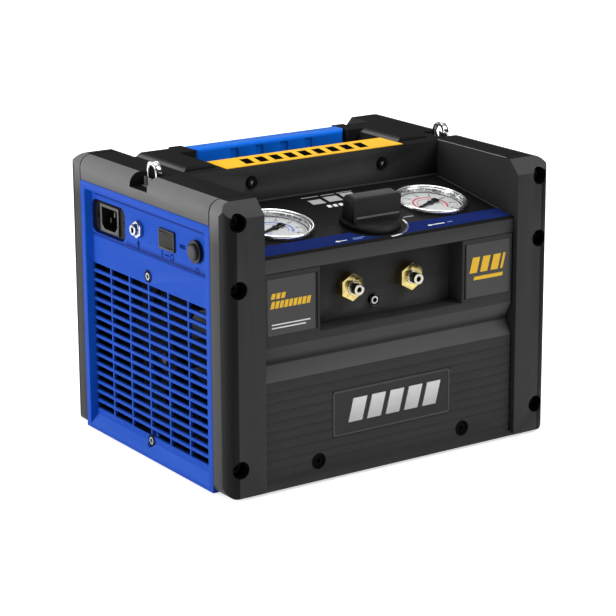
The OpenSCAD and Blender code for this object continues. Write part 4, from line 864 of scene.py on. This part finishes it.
# Marks under the side controls, and shade under the panel's upper rim and on the ledge below them
PANEL_RECESS, SHADE_T = 8, PRINT_T / 2
PANEL = on_left("left_panel", PANEL_RECESS)
UPWARD = 90
CONTROL_MARKS = [
    arrow(-24, 213, 10, 7, UPWARD), bar(20, 210, 22, 217), *ring_mark(40, 213.5, 3.6, 1.4),
    bar(26, 212.6, 34, 214.2), *ring_mark(86, 210, 3.4, 1.2), bar(54, 226, 64, 230)]
RIM_SHADE = bar(-110, 246.6, 106, 253)
LEDGE_BANDS = [bar(-115, 206.8, -50, 208.2), bar(-49, 206.8, 104, 212.3)]
printed("control_marks", CONTROL_MARKS, PANEL, INK_DEEP)
printed("control_shade", [RIM_SHADE], PANEL, CONTROL_SHADE, SHADE_T)
printed("control_ledge", LEDGE_BANDS, PANEL, LEDGE_SHADE, SHADE_T)

# Stage: pale floor, soft lights, white surroundings
FLOOR_HALF = 8
FLOOR_GREY, FLOOR_SPREAD, FLOOR_GLOW = (0.88, 0.88, 0.88), 0.01, 0.75
FLOOR_SCALE, FLOOR_DETAIL = 3, 2
SKY_FROM, SKY_TO, SKY_DIM, SKY_BRIGHT = 0.2, 0.6, 0.05, 0.4

# Name, place, target, size in metres and power of each soft light
LIGHTS = [
    ("key", (-2.1, 0.5, 0.55), (0, 0, 0.15), (1.6, 0.9), 50),
    ("fill", (1.5, -1.8, 1.95), (0, 0, 0.15), (1.6, 1.2), 30),
    ("top", (0.2, 0.1, 2.5), (0, 0, 0.2), (1.6, 1.6), 30),
    ("rim", (1.6, 1.9, 1.4), (0, 0, 0.2), (1.2, 0.8), 8),
]


def seen_rays(nodes, links):
    """1 for camera, glossy and transmission rays, else 0."""
    path = nodes.new("ShaderNodeLightPath")
    total = path.outputs["Is Camera Ray"]
    for name in ("Is Glossy Ray", "Is Transmission Ray"):
        node = nodes.new("ShaderNodeMath")
        node.operation = "MAXIMUM"
        links.new(total, node.inputs[0])
        links.new(path.outputs[name], node.inputs[1])
        total = node.outputs["Value"]
    return total


def pale_floor():
    """Wide floor that the camera and reflections see brighter than it is lit."""
    material, nodes, links, shader = new_material("floor")
    clouds = noise(nodes, links, FLOOR_SCALE, FLOOR_DETAIL)
    shade = tint(nodes, links, clouds, FLOOR_GREY, FLOOR_SPREAD)
    links.new(shade, shader.inputs["Base Color"])
    shader.inputs["Roughness"].default_value = 0.9
    shader.inputs["Specular IOR Level"].default_value = 0.1
    links.new(shade, shader.inputs["Emission Color"])
    glow = nodes.new("ShaderNodeMath")
    glow.operation = "MULTIPLY"
    links.new(seen_rays(nodes, links), glow.inputs[0])
    glow.inputs[1].default_value = FLOOR_GLOW
    links.new(glow.outputs["Value"], shader.inputs["Emission Strength"])
    mesh = bpy.data.meshes.new("floor")
    corners = [(x * FLOOR_HALF, y * FLOOR_HALF, 0) for x, y in ((-1, -1), (1, -1), (1, 1), (-1, 1))]
    mesh.from_pydata(corners, [], [(0, 1, 2, 3)])
    mesh.materials.append(material)
    floor = bpy.data.objects.new("floor", mesh)
    bpy.context.scene.collection.objects.link(floor)


def white_world():
    """White surroundings for the camera, and a dimmer light that grows with height for the rest."""
    world = bpy.data.worlds.new("studio")
    bpy.context.scene.world = world
    world.use_nodes = True
    nodes, links = world.node_tree.nodes, world.node_tree.links
    sky = nodes["Background"]
    sky.inputs["Color"].default_value = (1, 1, 1, 1)
    path = nodes.new("ShaderNodeLightPath")
    coords = nodes.new("ShaderNodeTexCoord")
    split = nodes.new("ShaderNodeSeparateXYZ")
    links.new(coords.outputs["Generated"], split.inputs["Vector"])
    fade = nodes.new("ShaderNodeMapRange")
    fade.interpolation_type = "SMOOTHSTEP"
    fade.inputs["From Min"].default_value = SKY_FROM
    fade.inputs["From Max"].default_value = SKY_TO
    fade.inputs["To Min"].default_value = SKY_DIM
    fade.inputs["To Max"].default_value = SKY_BRIGHT
    links.new(split.outputs["Z"], fade.inputs["Value"])
    strength = nodes.new("ShaderNodeMix")
    strength.inputs["B"].default_value = 1.0
    links.new(path.outputs["Is Camera Ray"], strength.inputs["Factor"])
    links.new(fade.outputs["Result"], strength.inputs["A"])
    links.new(strength.outputs["Result"], sky.inputs["Strength"])


def soft_light(name, place, target, size, power):
    """Rectangular soft light that looks at a point."""
    lamp = bpy.data.lights.new(name, "AREA")
    lamp.shape = "RECTANGLE"
    lamp.size, lamp.size_y = size
    lamp.energy = power
    holder = bpy.data.objects.new(name, lamp)
    holder.location = place
    holder.rotation_euler = (Vector(target) - Vector(place)).to_track_quat("-Z", "Y").to_euler()
    bpy.context.scene.collection.objects.link(holder)


pale_floor()
white_world()
for light in LIGHTS:
    soft_light(*light)

# Camera as the photograph's perspective shows it
AZIMUTH, ELEVATION, ROLL = map(math.radians, (-33.941, 14.981, -0.26))
DISTANCE, TARGET = 2.266875, Vector((0, 0, 0.153))
SENSOR_MM, FOCAL_MM = 36, 131.11
SHIFT_X, SHIFT_Y = -0.0009, -0.0423
back = Vector((math.sin(AZIMUTH) * math.cos(ELEVATION), -math.cos(AZIMUTH) * math.cos(ELEVATION),
               math.sin(ELEVATION)))
level = (-back).cross(Vector((0, 0, 1))).normalized()
upright = back.cross(level)
side_axis = level * math.cos(ROLL) + upright * math.sin(ROLL)
up_axis = upright * math.cos(ROLL) - level * math.sin(ROLL)
lens = bpy.data.cameras.new("camera")
lens.sensor_width = SENSOR_MM
lens.lens = FOCAL_MM
lens.shift_x = SHIFT_X
lens.shift_y = SHIFT_Y
camera = bpy.data.objects.new("camera", lens)
camera_turn = Matrix((side_axis, up_axis, back)).transposed().to_4x4()
camera.matrix_world = Matrix.Translation(TARGET + back * DISTANCE) @ camera_turn
bpy.context.scene.collection.objects.link(camera)
bpy.context.scene.camera = camera

bpy.context.scene.view_settings.view_transform = "Standard"
